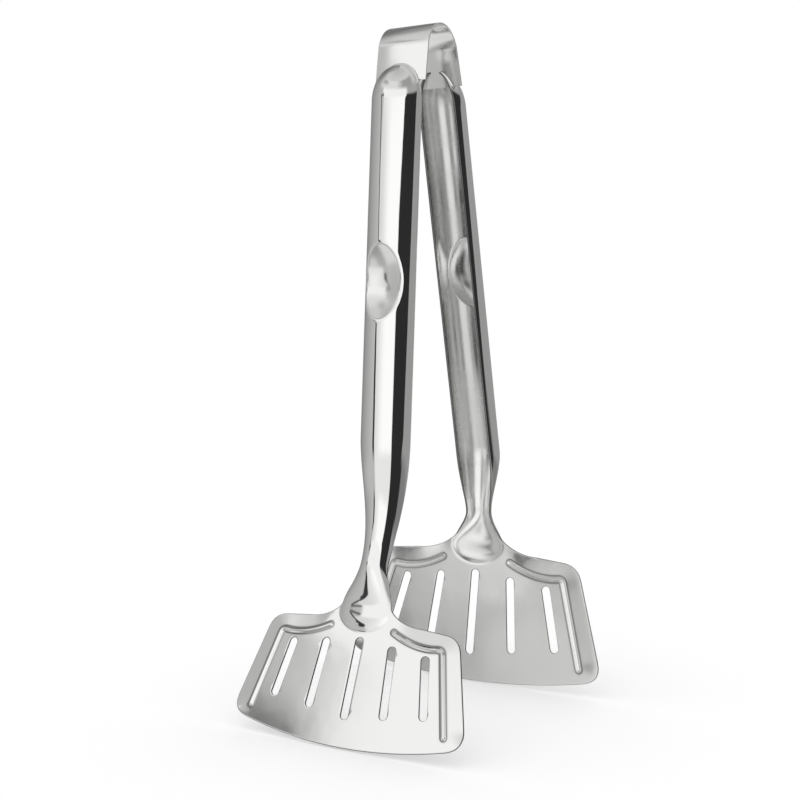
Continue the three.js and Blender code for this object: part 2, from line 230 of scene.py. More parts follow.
def row_facts(arm, s):
    """For each s: the angle, width and unrolled length at which the C meets its rim or the blade."""
    half_width, depth, centre = section(arm, s)
    plate = HALF_SHEET * smooth_step(s, arm["slot"] - PLATE_START, arm["slot"] - PLATE_FULL)
    reach = np.arccos(np.clip((plate - centre) / depth, -1, 1))
    turns = reach[:, None] * np.linspace(0, 1, ARC_POINTS)
    x = half_width[:, None] * np.sin(turns)
    h = centre[:, None] + depth[:, None] * np.cos(turns)
    steps = np.hypot(np.diff(x, axis=1), np.diff(h, axis=1))
    length = np.concatenate([np.zeros((len(s), 1)), np.cumsum(steps, axis=1)], axis=1)
    return dict(
        half_width=half_width, depth=depth, centre=centre, plate=plate, reach=reach, turns=turns,
        length=length)


rim_facts = row_facts(FRONT, np.array([60.0]))
print("middle to rim across the unrolled handle", round(float(rim_facts["length"][0, -1]), 1), "mm")

# %% Laying the sheet out flat: the table
GRID = 0.4
SPARE_LEFT, SPARE_RIGHT, SPARE_BELOW = 6, 8, 4
CREASE_BLUR, LEAST_SPEED = 0.45, 0.5
BLADE_START, SOFT_START, SOFT_FULL = 45, 43, 34  # above the slots
SOFT_PAST_DISH, SOFT_BESIDE_DISH = (1.15, 1.35), (17, 20)


def blur(table, sigma):
    """Blurs a table along both of its first directions."""
    reach = int(math.ceil(3 * sigma / GRID))
    weights = np.exp(-0.5 * (np.arange(-reach, reach + 1) * GRID / sigma) ** 2)
    weights /= weights.sum()
    for axis in (0, 1):
        pads = [(reach, reach) if a == axis else (0, 0) for a in range(3)]
        padded = np.pad(table, pads, mode="reflect", reflect_type="odd")
        count = table.shape[axis]
        slices = [padded.take(np.arange(i, i + count), axis=axis) for i in range(len(weights))]
        table = sum(w * piece for w, piece in zip(weights, slices))
    return table


def sheet_table(arm):
    """Places (x, s, h) of the middle of the sheet on an even table of v and u."""
    v = np.arange(0, v_of_s(np.array(arm["slot"] + arm["bottom_drop"])) + SPARE_BELOW, GRID)
    u = np.arange(-SPARE_LEFT, arm["bottom_width"] / 2 + SPARE_RIGHT, GRID)
    s = s_of_v(v)
    facts = row_facts(arm, s)
    table = np.zeros((len(v), len(u), 3))
    for row in range(len(v)):
        half_width, depth, centre = (facts[k][row] for k in ("half_width", "depth", "centre"))
        reach, edge = facts["reach"][row], facts["length"][row][-1]
        far = np.abs(u)
        turn = np.interp(far, facts["length"][row], facts["turns"][row])
        speed = math.hypot(half_width * math.cos(reach), depth * math.sin(reach))
        speed = max(speed, LEAST_SPEED)
        onward = np.clip(far - edge, 0, None)
        is_blade = s[row] > arm["slot"] - BLADE_START
        turn = turn if is_blade else turn + np.clip(onward / speed, 0, 1)
        x = half_width * np.sin(turn) + (onward if is_blade else 0)
        h = centre + depth * np.cos(turn)
        h = np.where((onward > 0) & is_blade, facts["plate"][row], h)
        table[row, :, 0] = np.sign(u) * x
        table[row, :, 1] = s[row]
        table[row, :, 2] = h - np.where(np.cos(turn) > 0, dish_push(x, s[row]), 0)
    soft = blur(table, CREASE_BLUR)
    along = np.abs(s - DISH_FROM_TOP) / (DISH_LENGTH / 2)
    beside = 1 - smooth_step(np.abs(u), *SOFT_BESIDE_DISH)
    near_dish = np.outer(1 - smooth_step(along, *SOFT_PAST_DISH), beside)
    near_blade = smooth_step(s, arm["slot"] - SOFT_START, arm["slot"] - SOFT_FULL)
    share = np.maximum(near_dish, near_blade[:, None])[:, :, None]
    arm["shift_v"] = v
    arm["shift"] = facts["length"][:, -1] - facts["half_width"] * np.sin(facts["reach"])
    arm["edge"] = facts["length"][:, -1]
    return table * (1 - share) + soft * share


for arm in (FRONT, REAR):
    arm["table"] = sheet_table(arm)
    print("sheet table", arm["table"].shape[:2], "length", round(float(arm["shift_v"][-1]), 1), "mm")


# %% Laying the sheet out flat: reading the table
def cubic_weights(t):
    """Shares of four neighbours in a smooth curve through the middle two."""
    return np.stack([
        ((-t + 2) * t - 1) * t / 2,
        ((3 * t - 5) * t) * t / 2 + 1,
        ((-3 * t + 4) * t + 1) * t / 2,
        ((t - 1) * t) * t / 2,
    ], axis=-1)


def sample(table, u, v):
    """Place on the sheet at any (u, v), mirrored for negative u."""
    column, row = (np.abs(u) + SPARE_LEFT) / GRID, v / GRID
    i, j = np.floor(row).astype(int), np.floor(column).astype(int)
    i = np.clip(i, 1, table.shape[0] - 3)
    j = np.clip(j, 1, table.shape[1] - 3)
    across, along = cubic_weights(column - j), cubic_weights(row - i)
    place = np.zeros((len(u), 3))
    for a in range(4):
        for b in range(4):
            place += (along[:, a] * across[:, b])[:, None] * table[i + a - 1, j + b - 1]
    place[:, 0] *= np.where(u < 0, -1, 1)
    return place


def tangents(table, u, v):
    """How the place on the sheet moves with u and with v, and the outward direction."""
    step = GRID / 2
    along_u = (sample(table, u + step, v) - sample(table, u - step, v)) / GRID
    along_v = (sample(table, u, v + step) - sample(table, u, v - step)) / GRID
    normal = np.cross(along_u, along_v)
    normal /= np.linalg.norm(normal, axis=1)[:, None]
    return along_u, along_v, normal


crown_place = sample(FRONT["table"], np.zeros(1), np.array([100.0]))[0]
print("crown of the front handle, (x, s, h)", crown_place.round(2))

# %% [markdown]
# ## The slots
# Five slots fan out over each blade, and both their ends follow straight rules: every step outward
# moves the ends sideways by one spacing and down or up by one step. A pattern with a rule is a good
# job for Geometry Nodes. The tree puts one circle on each of five points, then pulls the two halves
# of each circle apart along the slot, which gives the round-ended outline.

# %% Writing node trees
class Nodes:
    """A short way to add nodes to a tree and to join them."""

    def __init__(self, tree):
        self.tree = tree

    def add(self, kind, links=(), **settings):
        node = self.tree.nodes.new(kind)
        for key, value in settings.items():
            setattr(node, key, value)
        for socket, source in dict(links).items():
            target = node.inputs[socket]
            if isinstance(source, bpy.types.NodeSocket):
                self.tree.links.new(source, target)
            else:
                target.default_value = source
        return node

    def math(self, operation, *values):
        return self.add("ShaderNodeMath", dict(enumerate(values)), operation=operation).outputs[0]

    def times(self, first, second):
        return self.math("MULTIPLY", first, second)

    def minus(self, first, second):
        return self.math("SUBTRACT", first, second)


print("node helper ready")

# %% Geometry Nodes trees
FLOAT, INT = "NodeSocketFloat", "NodeSocketInt"
steel_marker = bpy.data.materials.new("slot_outline")


class Tree(Nodes):
    """A Geometry Nodes tree with named inputs."""

    def __init__(self, name, inputs):
        super().__init__(bpy.data.node_groups.new(name, "GeometryNodeTree"))
        self.ids = {}
        for label, kind, value in inputs:
            socket = self.tree.interface.new_socket(label, in_out="INPUT", socket_type=kind)
            socket.default_value = value
            self.ids[label] = socket.identifier
        self.tree.interface.new_socket("Geometry", in_out="OUTPUT", socket_type="NodeSocketGeometry")
        self.source = self.tree.nodes.new("NodeGroupInput")
        self.out = self.tree.nodes.new("NodeGroupOutput")

    def vector(self, x=0.0, y=0.0, z=0.0):
        return self.add("ShaderNodeCombineXYZ", {0: x, 1: y, 2: z}).outputs[0]

    def finish(self, geometry, material):
        """Every tree ends in plain geometry with a material, which is all that an export keeps."""
        realized = self.add("GeometryNodeRealizeInstances", {0: geometry}).outputs[0]
        painted = self.add("GeometryNodeSetMaterial", {"Geometry": realized, "Material": material})
        self.tree.links.new(painted.outputs[0], self.out.inputs[0])

    def bake(self, name, values):
        """Runs the tree on an empty object and keeps the result as a plain mesh."""
        carrier = bpy.data.objects.new(name + "_carrier", bpy.data.meshes.new(name + "_carrier"))
        scene.collection.objects.link(carrier)
        modifier = carrier.modifiers.new("nodes", "NODES")
        modifier.node_group = self.tree
        for label, value in values.items():
            modifier[self.ids[label]] = value
        evaluated = carrier.evaluated_get(bpy.context.evaluated_depsgraph_get())
        mesh = bpy.data.meshes.new_from_object(evaluated)
        bpy.data.objects.remove(carrier)
        mesh.name = name
        return mesh


print("tree helper ready, marker", steel_marker.name)

# %% The slots: where they go
OUTLINE_POINTS = 36
slots = Tree("slot_outlines", [
    ("Slots", INT, 5), ("Width", FLOAT, 4.2), ("Top spacing", FLOAT, 18.0), ("Top step", FLOAT, 2.0),
    ("Bottom spacing", FLOAT, 20.0), ("Bottom depth", FLOAT, 38.0), ("Bottom step", FLOAT, 3.0),
])
given = slots.source.outputs
radius = slots.times(given["Width"], 0.5)
number = slots.add("GeometryNodeInputIndex").outputs[0]
step = slots.minus(number, slots.times(slots.minus(given["Slots"], 1.0), 0.5))
outward = slots.math("ABSOLUTE", step)
top_y = slots.minus(slots.times(slots.times(outward, given["Top step"]), -1.0), radius)
bottom_rise = slots.math("ADD", slots.times(outward, given["Bottom step"]), radius)
bottom_y = slots.minus(bottom_rise, given["Bottom depth"])
top = slots.vector(slots.times(step, given["Top spacing"]), top_y)
bottom = slots.vector(slots.times(step, given["Bottom spacing"]), bottom_y)
span = slots.add("ShaderNodeVectorMath", {0: top, 1: bottom}, operation="SUBTRACT").outputs[0]
halfway = slots.add("ShaderNodeMix", {4: top, 5: bottom, 0: 0.5}, data_type="VECTOR").outputs[1]
print("slot tree inputs", list(slots.ids))

# %% The slots: outlines
points = slots.add("GeometryNodeMeshLine", {"Count": given["Slots"]}).outputs[0]
spread = slots.add("GeometryNodeSetPosition", {"Geometry": points, "Position": halfway}).outputs[0]
marked = slots.add(
    "GeometryNodeStoreNamedAttribute", {"Geometry": spread, "Name": "slot_span", 3: span},
    data_type="FLOAT_VECTOR").outputs[0]
circle = slots.add("GeometryNodeMeshCircle", {"Vertices": OUTLINE_POINTS, "Radius": radius}).outputs[0]
local = slots.add("GeometryNodeInputPosition").outputs[0]
local_y = slots.add("ShaderNodeSeparateXYZ", {0: local}).outputs[1]
half = slots.minus(slots.math("GREATER_THAN", local_y, 0.0), 0.5)
halved = slots.add(
    "GeometryNodeStoreNamedAttribute", {"Geometry": circle, "Name": "slot_half", "Value": half},
    data_type="FLOAT").outputs[0]
turned = slots.add("FunctionNodeAlignEulerToVector", {"Vector": span}, axis="Y").outputs[0]
copies = slots.add(
    "GeometryNodeInstanceOnPoints", {"Points": marked, "Instance": halved, "Rotation": turned}).outputs[0]
loose = slots.add("GeometryNodeRealizeInstances", {0: copies}).outputs[0]
read_span, read_half = (
    slots.add("GeometryNodeInputNamedAttribute", {"Name": name}, data_type=kind).outputs[0]
    for name, kind in (("slot_span", "FLOAT_VECTOR"), ("slot_half", "FLOAT")))
pull = slots.add("ShaderNodeVectorMath", {0: read_span, "Scale": read_half}, operation="SCALE").outputs[0]
stretched = slots.add("GeometryNodeSetPosition", {"Geometry": loose, "Offset": pull}).outputs[0]
slots.finish(stretched, steel_marker)
print("slot tree nodes", len(slots.tree.nodes))

# %% The slots: one set for each blade
TOP_SPACING, BOTTOM_SPACING = 0.354, 0.3195  # of the blade's half width there
TOP_STEP, BOTTOM_STEP, BOTTOM_DEPTH = 0.0505, 0.0648, 0.905  # of the drop of its side


def slot_loops(arm):
    """The five outlines, as (x, height above the middle slot's top)."""
    half_top, half_bottom, drop = arm["shoulder_width"] / 2, arm["bottom_width"] / 2, arm["side_drop"]
    mesh = slots.bake("slots", {
        "Slots": 5, "Width": float(arm["slot_width"]), "Top spacing": TOP_SPACING * half_top,
        "Top step": TOP_STEP * drop, "Bottom spacing": BOTTOM_SPACING * half_bottom,
        "Bottom depth": BOTTOM_DEPTH * drop, "Bottom step": BOTTOM_STEP * drop,
    })
    points = np.array([vertex.co[:2] for vertex in mesh.vertices])
    bpy.data.meshes.remove(mesh)
    return points.reshape(-1, OUTLINE_POINTS, 2)


for arm in (FRONT, REAR):
    arm["slot_loops"] = slot_loops(arm)
    first = arm["slot_loops"][0]
    print("slots", len(arm["slot_loops"]), "first from", first.min(0).round(1), "to", first.max(0).round(1))

# %% [markdown]
# ## The edges of the unrolled sheet
# The sheet's outline runs down the rim of the handle and then swings out along the blade. At the
# handle's domed end a narrow slit lets the leg of the spring in, and a notch in the rim joins it to the
# outside. All these edges are drawn as one closed loop in (u, v), so the steel is one sheet.

# %% The blade's outline
FLARE = (0.6, 1.3)  # of the shoulder's place
NECK_END = (0.36, 23)  # of the tongue's width, and above the slots
FLARE_FOOT, NECK_PULL = 0.6, 1.9
ARC_COUNT, HOLLOW_COUNT, CORNER_COUNT = 40, 30, 9


def curve(start, control, end, count):
    """A bend from start to end that is pulled towards a control point."""
    t = np.linspace(0, 1, count)[:, None]
    return (1 - t) ** 2 * start + 2 * t * (1 - t) * control + t * t * end


def even(points, step):
    """The same line with points an even step apart."""
    lengths = np.concatenate([[0], np.cumsum(np.linalg.norm(np.diff(points, axis=0), axis=1))])
    count = max(int(round(lengths[-1] / step)), 3)
    places = np.linspace(0, lengths[-1], count + 1)
    return np.stack([np.interp(places, lengths, points[:, k]) for k in (0, 1)], axis=1)


def around_corner(before, corner, after, radius, count=CORNER_COUNT):
    """A corner between two other points, cut round."""
    start = corner + (before - corner) / np.linalg.norm(before - corner) * radius
    end = corner + (after - corner) / np.linalg.norm(after - corner) * radius
    return curve(start, corner, end, count)


def blade_outline(arm):
    """The right half of the blade from the middle of its lower edge up to the neck."""
    shoulder = np.array([arm["shoulder_width"] / 2, arm["shoulder_rise"]])
    corner = np.array([arm["bottom_width"] / 2, -arm["side_drop"]])
    flare = shoulder * FLARE
    neck = np.array([arm["tongue_width"] * NECK_END[0], NECK_END[1]])
    bow = arm["bottom_drop"] - arm["side_drop"]
    radius = (corner[0] ** 2 + bow**2) / (2 * bow)
    turn = np.linspace(0, math.asin(corner[0] / radius), ARC_COUNT)
    rise = radius * (1 - np.cos(turn)) - arm["bottom_drop"]
    bottom = np.stack([radius * np.sin(turn), rise], axis=1)
    bottom = bottom[bottom[:, 0] < corner[0] - arm["corner_radius"]]
    lower = around_corner(bottom[-1], corner, shoulder, arm["corner_radius"])
    upper = around_corner(corner, shoulder, flare, arm["shoulder_radius"])
    t = np.linspace(0, 1, HOLLOW_COUNT)[:, None]
    foot, steep = np.array([flare[0] * FLARE_FOOT, flare[1]]), np.array([neck[0], flare[1] * NECK_PULL])
    hollow = (1 - t) ** 3 * flare + 3 * t * (1 - t) ** 2 * foot
    hollow = hollow + 3 * t * t * (1 - t) * steep + t**3 * neck
    return np.concatenate([bottom, lower, upper, hollow])


print("blade outline points", len(blade_outline(FRONT)))


# %% The rim, the slit and the notch
MIDDLE_RADIUS = HANDLE_RADIUS - HALF_SHEET
NOTCH_ROUND, RIM_GAP = 0.45, 0.01
NOTCH_COUNT, INNER_COUNT, OUTER_COUNT = 4, 18, 24
SLIT_TRIES, FIRST_GUESS = 6, 2.0


def leg_face(s, side):
    """Height h of the slit's inner (-1) or outer (1) wall above the rim, at each s."""
    top_y, top_z = HANDLE_TOP_OFFSET - SPRING_HALF_SPAN, HANDLE_TOP_DROP - CROWN_RISE
    h = -(math.cos(HANDLE_LEAN) * top_y - math.sin(HANDLE_LEAN) * top_z)
    start = -(math.sin(HANDLE_LEAN) * top_y + math.cos(HANDLE_LEAN) * top_z)
    lean = LEG_LEAN - HANDLE_LEAN
    outer = h + (s - start) * math.tan(lean)
    away = SEAT_CLEARANCE if side > 0 else -SEAT_CLEARANCE - SPRING_THICKNESS
    return outer + away / math.cos(lean), start + LEG_LENGTH * math.cos(lean) + SEAT_CLEARANCE


def dome_place(x, h):
    """(u, v) of the places on the dome that lie at x across and h above the rim."""
    out = np.hypot(x, h)
    turn = np.arctan2(x, h) + np.arcsin(x * CENTRE_RISE / (MIDDLE_RADIUS * out))
    share = out / np.hypot(MIDDLE_RADIUS * np.sin(turn), CENTRE_RISE + MIDDLE_RADIUS * np.cos(turn))
    return np.stack([MIDDLE_RADIUS * share * turn, DOME_ARC * np.arcsin(share) * 2 / math.pi], axis=1)


def slit_side(x, side):
    """(u, v) along one wall of the slit, whose height changes a little with s."""
    places = dome_place(x, np.full_like(x, FIRST_GUESS))
    for _ in range(SLIT_TRIES):
        places = dome_place(x, leg_face(s_of_v(places[:, 1]), side)[0])
    return places


def slit_end(side):
    """How far across the slit reaches on one side, where the sheet passes the end of the leg."""
    s = leg_face(0, 1)[1]
    share = math.sqrt(1 - (1 - (s - HALF_SHEET) / (DOME_LENGTH - HALF_SHEET)) ** 2)
    height = leg_face(s, side)[0] / share - CENTRE_RISE
    return share * math.sqrt(MIDDLE_RADIUS**2 - height**2)


def handle_top():
    """From the rim at the dome's notch, round the slit, up to the crown, on the right half."""
    corner = slit_side(np.array([NOTCH_WIDTH / 2]), -1)
    corner_height = float(leg_face(s_of_v(corner[:, 1]), -1)[0][0])
    heights = np.linspace(RIM_GAP, corner_height - NOTCH_ROUND, NOTCH_COUNT)
    notch = dome_place(np.full_like(heights, NOTCH_WIDTH / 2), heights)
    inner = slit_side(np.linspace(NOTCH_WIDTH / 2, slit_end(-1), INNER_COUNT), -1)
    almost_middle = 0.001
    outer = slit_side(np.linspace(slit_end(1), almost_middle, OUTER_COUNT), 1)
    outer[-1, 0] = 0
    return np.concatenate([notch, inner, outer])


top_edge = handle_top()
print("edge round the slit", len(top_edge), "points, crown at v =", round(float(top_edge[-1][1]), 2))


# %% The whole outline
EDGE_STEP = 1.0
MEET_GAP, RIM_START, RIM_STOP = 0.4, 1.5, 0.5  # where blade, rim and dome meet


def unroll(arm, places):
    """(x, height above the slots) on the blade to (u, v) on the unrolled sheet."""
    v = v_of_s(arm["slot"] - places[:, 1])
    shift = np.interp(v, arm["shift_v"], arm["shift"])
    return np.stack([places[:, 0] + np.sign(places[:, 0]) * shift, v], axis=1)


def outline(arm):
    """The whole sheet's edge: up the right side of the blade, the rim and the dome, and down the left."""
    blade = unroll(arm, blade_outline(arm))
    rim_u = np.interp(blade[:, 1], arm["shift_v"], arm["edge"])
    beyond = np.argmax((blade[:, 0] < rim_u + MEET_GAP) & (blade[:, 1] < v_of_s(arm["slot"])))
    blade = blade[:beyond]
    rim_v = np.arange(blade[-1][1] - RIM_START, top_edge[0][1] + RIM_STOP, -EDGE_STEP)
    rim = np.stack([np.interp(rim_v, arm["shift_v"], arm["edge"]), rim_v], axis=1)
    half = np.concatenate([even(blade, EDGE_STEP), rim, top_edge])
    half = half[half[:, 0] >= 0]
    left = half[::-1] * (-1, 1)
    return np.concatenate([half, left[1:-1]])


for arm in (FRONT, REAR):
    arm["outline"] = outline(arm)
    lowest = float(arm["outline"][:, 1].max())
    print("outline", len(arm["outline"]), "points, lowest v", round(lowest, 1))

# %% [markdown]
# ## Beads beside the slots
# A narrow bead is pressed into each side of the blade, along the shoulder and down the edge, to make
# the thin sheet stiff. It shows as a ridge outside and as a groove inside. Its height falls off with
# the distance from a bent line, so the line is all that has to be drawn. The same distance gives the
# painted dark line of shade along the bead's foot, and the slight turn of the border outside it.

# %% Beads beside the slots: their line
BEAD_TOP, BEAD_CORNER, BEAD_END = (0.34, -0.105), (0.86, 0.008), (0.828, 0.907)
BEAD_SAG, BEAD_STEP, BEAD_BEND = 0.055, 0.5, 2.5
BEAD_TOP_COUNT, BEAD_BEND_COUNT, BEAD_CUT = 20, 12, 4  # the last is left out at the bend
END_TURN, END_POINTS_PER_MM = 1.2, 5


def bead_line(arm):
    """The bead's middle line on the right half, as (x, height above the slots)."""
    half_top, half_bottom, drop = arm["shoulder_width"] / 2, arm["bottom_width"] / 2, arm["side_drop"]
    start = np.array([BEAD_TOP[0] * half_top, -BEAD_TOP[1] * drop])
    corner = np.array([BEAD_CORNER[0] * half_top, -BEAD_CORNER[1] * drop])
    end = np.array([BEAD_END[0] * half_bottom, -BEAD_END[1] * drop])
    sag = (start + corner) / 2 - np.array([0, 2 * BEAD_SAG * drop])
    top = curve(start, sag, corner, BEAD_TOP_COUNT)
    bend = around_corner(top[-BEAD_CUT], corner, end, BEAD_BEND, BEAD_BEND_COUNT)
    return even(np.concatenate([top[:-BEAD_CUT], bend, [end]]), BEAD_STEP)


def beside(line, offset):
    """Points at one distance from a line on both its sides, and round its two ends."""
    along = np.gradient(line, axis=0)
    along /= np.linalg.norm(along, axis=1)[:, None]
    across = np.stack([-along[:, 1], along[:, 0]], axis=1)
    parts = [line + across * offset, line - across * offset]
    count = max(int(offset * END_POINTS_PER_MM), 2)
    for end, onward in ((line[0], -along[0]), (line[-1], along[-1])):
        turns = math.atan2(onward[1], onward[0]) + np.linspace(-END_TURN, END_TURN, count)
        parts.append(end + offset * np.stack([np.cos(turns), np.sin(turns)], axis=1))
    return np.concatenate(parts)


for arm in (FRONT, REAR):
    arm["bead"] = bead_line(arm)
    print("bead length", round(BEAD_STEP * len(arm["bead"])), "mm")

# %% Beads beside the slots: their height
BEAD_HEIGHT, BEAD_GROOVE = 1.25, 1.2
GROOVE_SHARE = 0.9
BEAD_ZONE, FAR_AWAY = 16, 99.0
# Where the painted line of shade along the bead's foot lies, and how soft it is.
FOOT_PLACE, FOOT_SOFT = 0.5, 0.11  # of the bead's width
RIM_TURN, RIM_REACH = math.radians(7), 8
WALL_SHARE, RIM_FROM = 0.95, 0.3  # of the bead's reach, and of its width
FADE_SIDE, FADE_LOW, FADE_TOP = (0.9, 1.6), (0.8, 1.02), (-16, -9)


def bead_height(arm, x, s):
    """Ridge height outside, groove depth inside, turn of the border and painted shade at the bead's foot."""
    fine = even(arm["bead"], BEAD_STEP / 10)
    tree = kdtree.KDTree(len(fine))
    for number, (across, up_blade) in enumerate(fine.tolist()):
        tree.insert((across, up_blade, 0), number)
    tree.balance()
    places = np.stack([np.abs(x), arm["slot"] - s], axis=1)
    gap = np.full(len(places), FAR_AWAY)
    for number in np.flatnonzero(s > arm["slot"] - BEAD_ZONE).tolist():
        gap[number] = tree.find((places[number, 0], places[number, 1], 0))[2]
    half = arm["bead_width"] * 0.5
    ridge = BEAD_HEIGHT * np.cos(math.pi / 2 * np.clip(gap / half, 0, 1)) ** 2
    groove = BEAD_GROOVE * np.cos(math.pi / 2 * np.clip(gap / (half * GROOVE_SHARE), 0, 1)) ** 2
    # A painted dark line of shade along the bead's foot, on both of its sides.
    foot_painted_shade = np.exp(-(((gap / arm["bead_width"]) - FOOT_PLACE) / FOOT_SOFT) ** 2)
    return ridge, groove, rim_drop(arm, places, gap), foot_painted_shade


def rim_drop(arm, places, gap):
    """How far the border outside the beads is turned towards the inner side."""
    line = arm["bead"]
    wall = line[np.argmax(line[:, 0] > WALL_SHARE * line[:, 0].max()):]
    wall_x = np.interp(-places[:, 1], -wall[:, 1], wall[:, 0])
    roof = line[: np.argmax(line[:, 0]) + 1]
    roof_y = np.interp(places[:, 0], roof[:, 0], roof[:, 1])
    outside = (places[:, 0] > wall_x) | (places[:, 1] > roof_y)
    beyond = np.where(outside, np.clip(gap - arm["bead_width"] * RIM_FROM, 0, RIM_REACH), 0)
    down = -places[:, 1]
    fade = smooth_step(places[:, 0], *(line[0, 0] * share for share in FADE_SIDE))
    fade = fade * (1 - smooth_step(down, *(arm["side_drop"] * share for share in FADE_LOW)))
    return math.tan(RIM_TURN) * beyond * fade * smooth_step(down, *FADE_TOP)


bead_start = FRONT["bead"][:1]
ridge, groove, _, _ = bead_height(FRONT, bead_start[:, 0], FRONT["slot"] - bead_start[:, 1])
print("ridge", float(ridge[0].round(2)), "groove", float(groove[0].round(2)), "mm")

# %% [markdown]
# ## From flat outline to steel
# The outline, the slots and the lines beside the beads are joined into one net of triangles by a
# constrained triangulation, which keeps every edge exactly where it was drawn. Each point then gets an
# outer and an inner place half a sheet from the middle, and rounded strips close the edges. A solid
# modelled this way has true steel thickness and no boolean scars in its reflections.

# %% Points of the net: edges
def dot(first, second):
    return np.sum(first * second, axis=1)


def inward(arm, loop):
    """Towards the steel at each point of a closed loop round it: on the sheet in space, and in (u, v)."""
    places = sample(arm["table"], loop[:, 0], loop[:, 1])
    onward = np.roll(places, -1, axis=0) - places
    onward /= np.linalg.norm(onward, axis=1)[:, None]
    along = onward + np.roll(onward, 1, axis=0)
    along_u, along_v, normal = tangents(arm["table"], loop[:, 0], loop[:, 1])
    enclosed = np.sum(loop[:, 0] * np.roll(loop[:, 1], -1) - np.roll(loop[:, 0], -1) * loop[:, 1])
    way = np.cross(normal, along) * np.sign(enclosed)
    way /= np.linalg.norm(way, axis=1)[:, None]
    uu, uv, vv = dot(along_u, along_u), dot(along_u, along_v), dot(along_v, along_v)
    uw, vw = dot(along_u, way), dot(along_v, way)
    area = uu * vv - uv**2
    return way, np.stack([(uw * vv - vw * uv) / area, (vw * uu - uw * uv) / area], axis=1)


def inside(loop, points):
    """Which points lie within a closed loop."""
    result = np.zeros(len(points), dtype=bool)
    ends = np.roll(loop, -1, axis=0)
    for (x0, y0), (x1, y1) in zip(loop, ends):
        if y0 != y1:
            crosses = (points[:, 1] < y0) != (points[:, 1] < y1)
            result ^= crosses & (points[:, 0] < (x1 - x0) * (points[:, 1] - y0) / (y1 - y0) + x0)
    return result


triangle = np.array([(0.0, 0.0), (2.0, 0.0), (0.0, 2.0)])
print("inside a triangle", inside(triangle, np.array([(0.5, 0.5), (2.0, 2.0)])))


# %% Points of the net: how fine
DISH_FINE, CLOSE, BLADE_COARSE = 0.8, 1.15, 2.0
TIGHT_TOP, TIGHT_BESIDE, TIGHT_SHARE = 14, 17, 0.62
TIGHT_NECK_START, TIGHT_NECK_END = 42, -1  # above the slots


def hexagons(low, high, spacing):
    """Evenly packed points over a rectangle."""
    rows = np.arange(low[1], high[1], spacing * math.sqrt(3) / 2)
    count = int((high[0] - low[0]) / spacing) + 1
    columns = low[0] + spacing * np.arange(count)
    shifts = (spacing / 2 * (k % 2) for k in range(len(rows)))
    return np.concatenate([
        np.stack([columns + shift, np.full(count, v)], axis=1) for shift, v in zip(shifts, rows)])


def fineness(arm, points):
    """How far apart the points should lie: closest on the dish, the dome, the neck and the tongue."""
    u, s = points[:, 0], s_of_v(points[:, 1])
    on_dish = (np.abs(s - DISH_FROM_TOP) < DISH_LENGTH * TIGHT_SHARE) & (np.abs(u) < TIGHT_BESIDE)
    on_neck = (s > arm["slot"] - TIGHT_NECK_START) & (s < arm["slot"] - TIGHT_NECK_END)
    on_neck &= np.abs(u) < arm["tongue_width"] * TIGHT_SHARE
    tight = (s < TIGHT_TOP) | on_dish | on_neck
    blade = (s > arm["slot"] - BEAD_ZONE) & ~tight
    return np.where(tight, DISH_FINE, np.where(blade, BLADE_COARSE, CLOSE))


def thin_out(fixed, free, gaps):
    """Leaves out free points that lie too close to fixed ones or to free ones before them."""
    cell = BLADE_COARSE
    taken = {}
    for place in map(tuple, fixed):
        taken.setdefault((int(place[0] // cell), int(place[1] // cell)), []).append(place)
    chosen = []
    for (x, y), gap in zip(map(tuple, free), gaps):
        column, row = int(x // cell), int(y // cell)
        near = (p for i in (-1, 0, 1) for j in (-1, 0, 1) for p in taken.get((column + i, row + j), ()))
        if all((x - p[0]) ** 2 + (y - p[1]) ** 2 > gap * gap for p in near):
            taken.setdefault((column, row), []).append((x, y))
            chosen.append((x, y))
    return np.array(chosen)


print("spacings", sorted({float(f) for f in fineness(FRONT, FRONT["outline"])}), "mm")


# %% Points of the net: all together
EDGE_ROUND, SLOT_ROUND, SUPPORT_GAP = 0.35, 0.2, 0.4
BEAD_LINES, BEAD_LINE_GAP = (1, 2, 3, 4, 5, 6, 8), 0.11
LINE_CLEARANCE, FREE_CLEARANCE = 0.22, 0.5


def net_points(arm):
    """The edge loops, each with its way out and its rounding, and all points of the net."""
    loop = arm["outline"]
    steel, step = inward(arm, loop)
    edges = [(loop + step * EDGE_ROUND, -steel, EDGE_ROUND)]
    supports = [loop + step * (EDGE_ROUND + SUPPORT_GAP)]
    for hole in arm["slot_loops"]:
        ring = unroll(arm, hole)
        hole_middle, step = inward(arm, ring)
        edges.append((ring - step * SLOT_ROUND, hole_middle, SLOT_ROUND))
        supports.append(ring - step * (SLOT_ROUND + SUPPORT_GAP))
    offsets = (k * arm["bead_width"] * BEAD_LINE_GAP for k in BEAD_LINES)
    lines = np.concatenate([arm["bead"]] + [beside(arm["bead"], offset) for offset in offsets])
    lines = unroll(arm, np.concatenate([lines, lines * (-1, 1)]))
    support = np.concatenate(supports)
    fixed = np.concatenate([ring for ring, _, _ in edges])
    parts = []
    for spacing in (DISH_FINE, CLOSE, BLADE_COARSE):
        grid = hexagons(loop.min(axis=0), loop.max(axis=0), spacing)
        parts.append(grid[fineness(arm, grid) == spacing])
    free = np.concatenate([lines, support] + parts)
    keep = inside(edges[0][0], free)
    for ring, _, _ in edges[1:]:
        keep &= ~inside(ring, free)
    free = free[keep]
    gaps = fineness(arm, free) * FREE_CLEARANCE
    gaps[: int(keep[: len(lines) + len(support)].sum())] = LINE_CLEARANCE
    return edges, np.concatenate([fixed, thin_out(fixed, free, gaps)])


for arm in (FRONT, REAR):
    arm["edges"], arm["points"] = net_points(arm)
    edge_points = sum(len(ring) for ring, _, _ in arm["edges"])
    print("net points", len(arm["points"]), "on edges", edge_points)


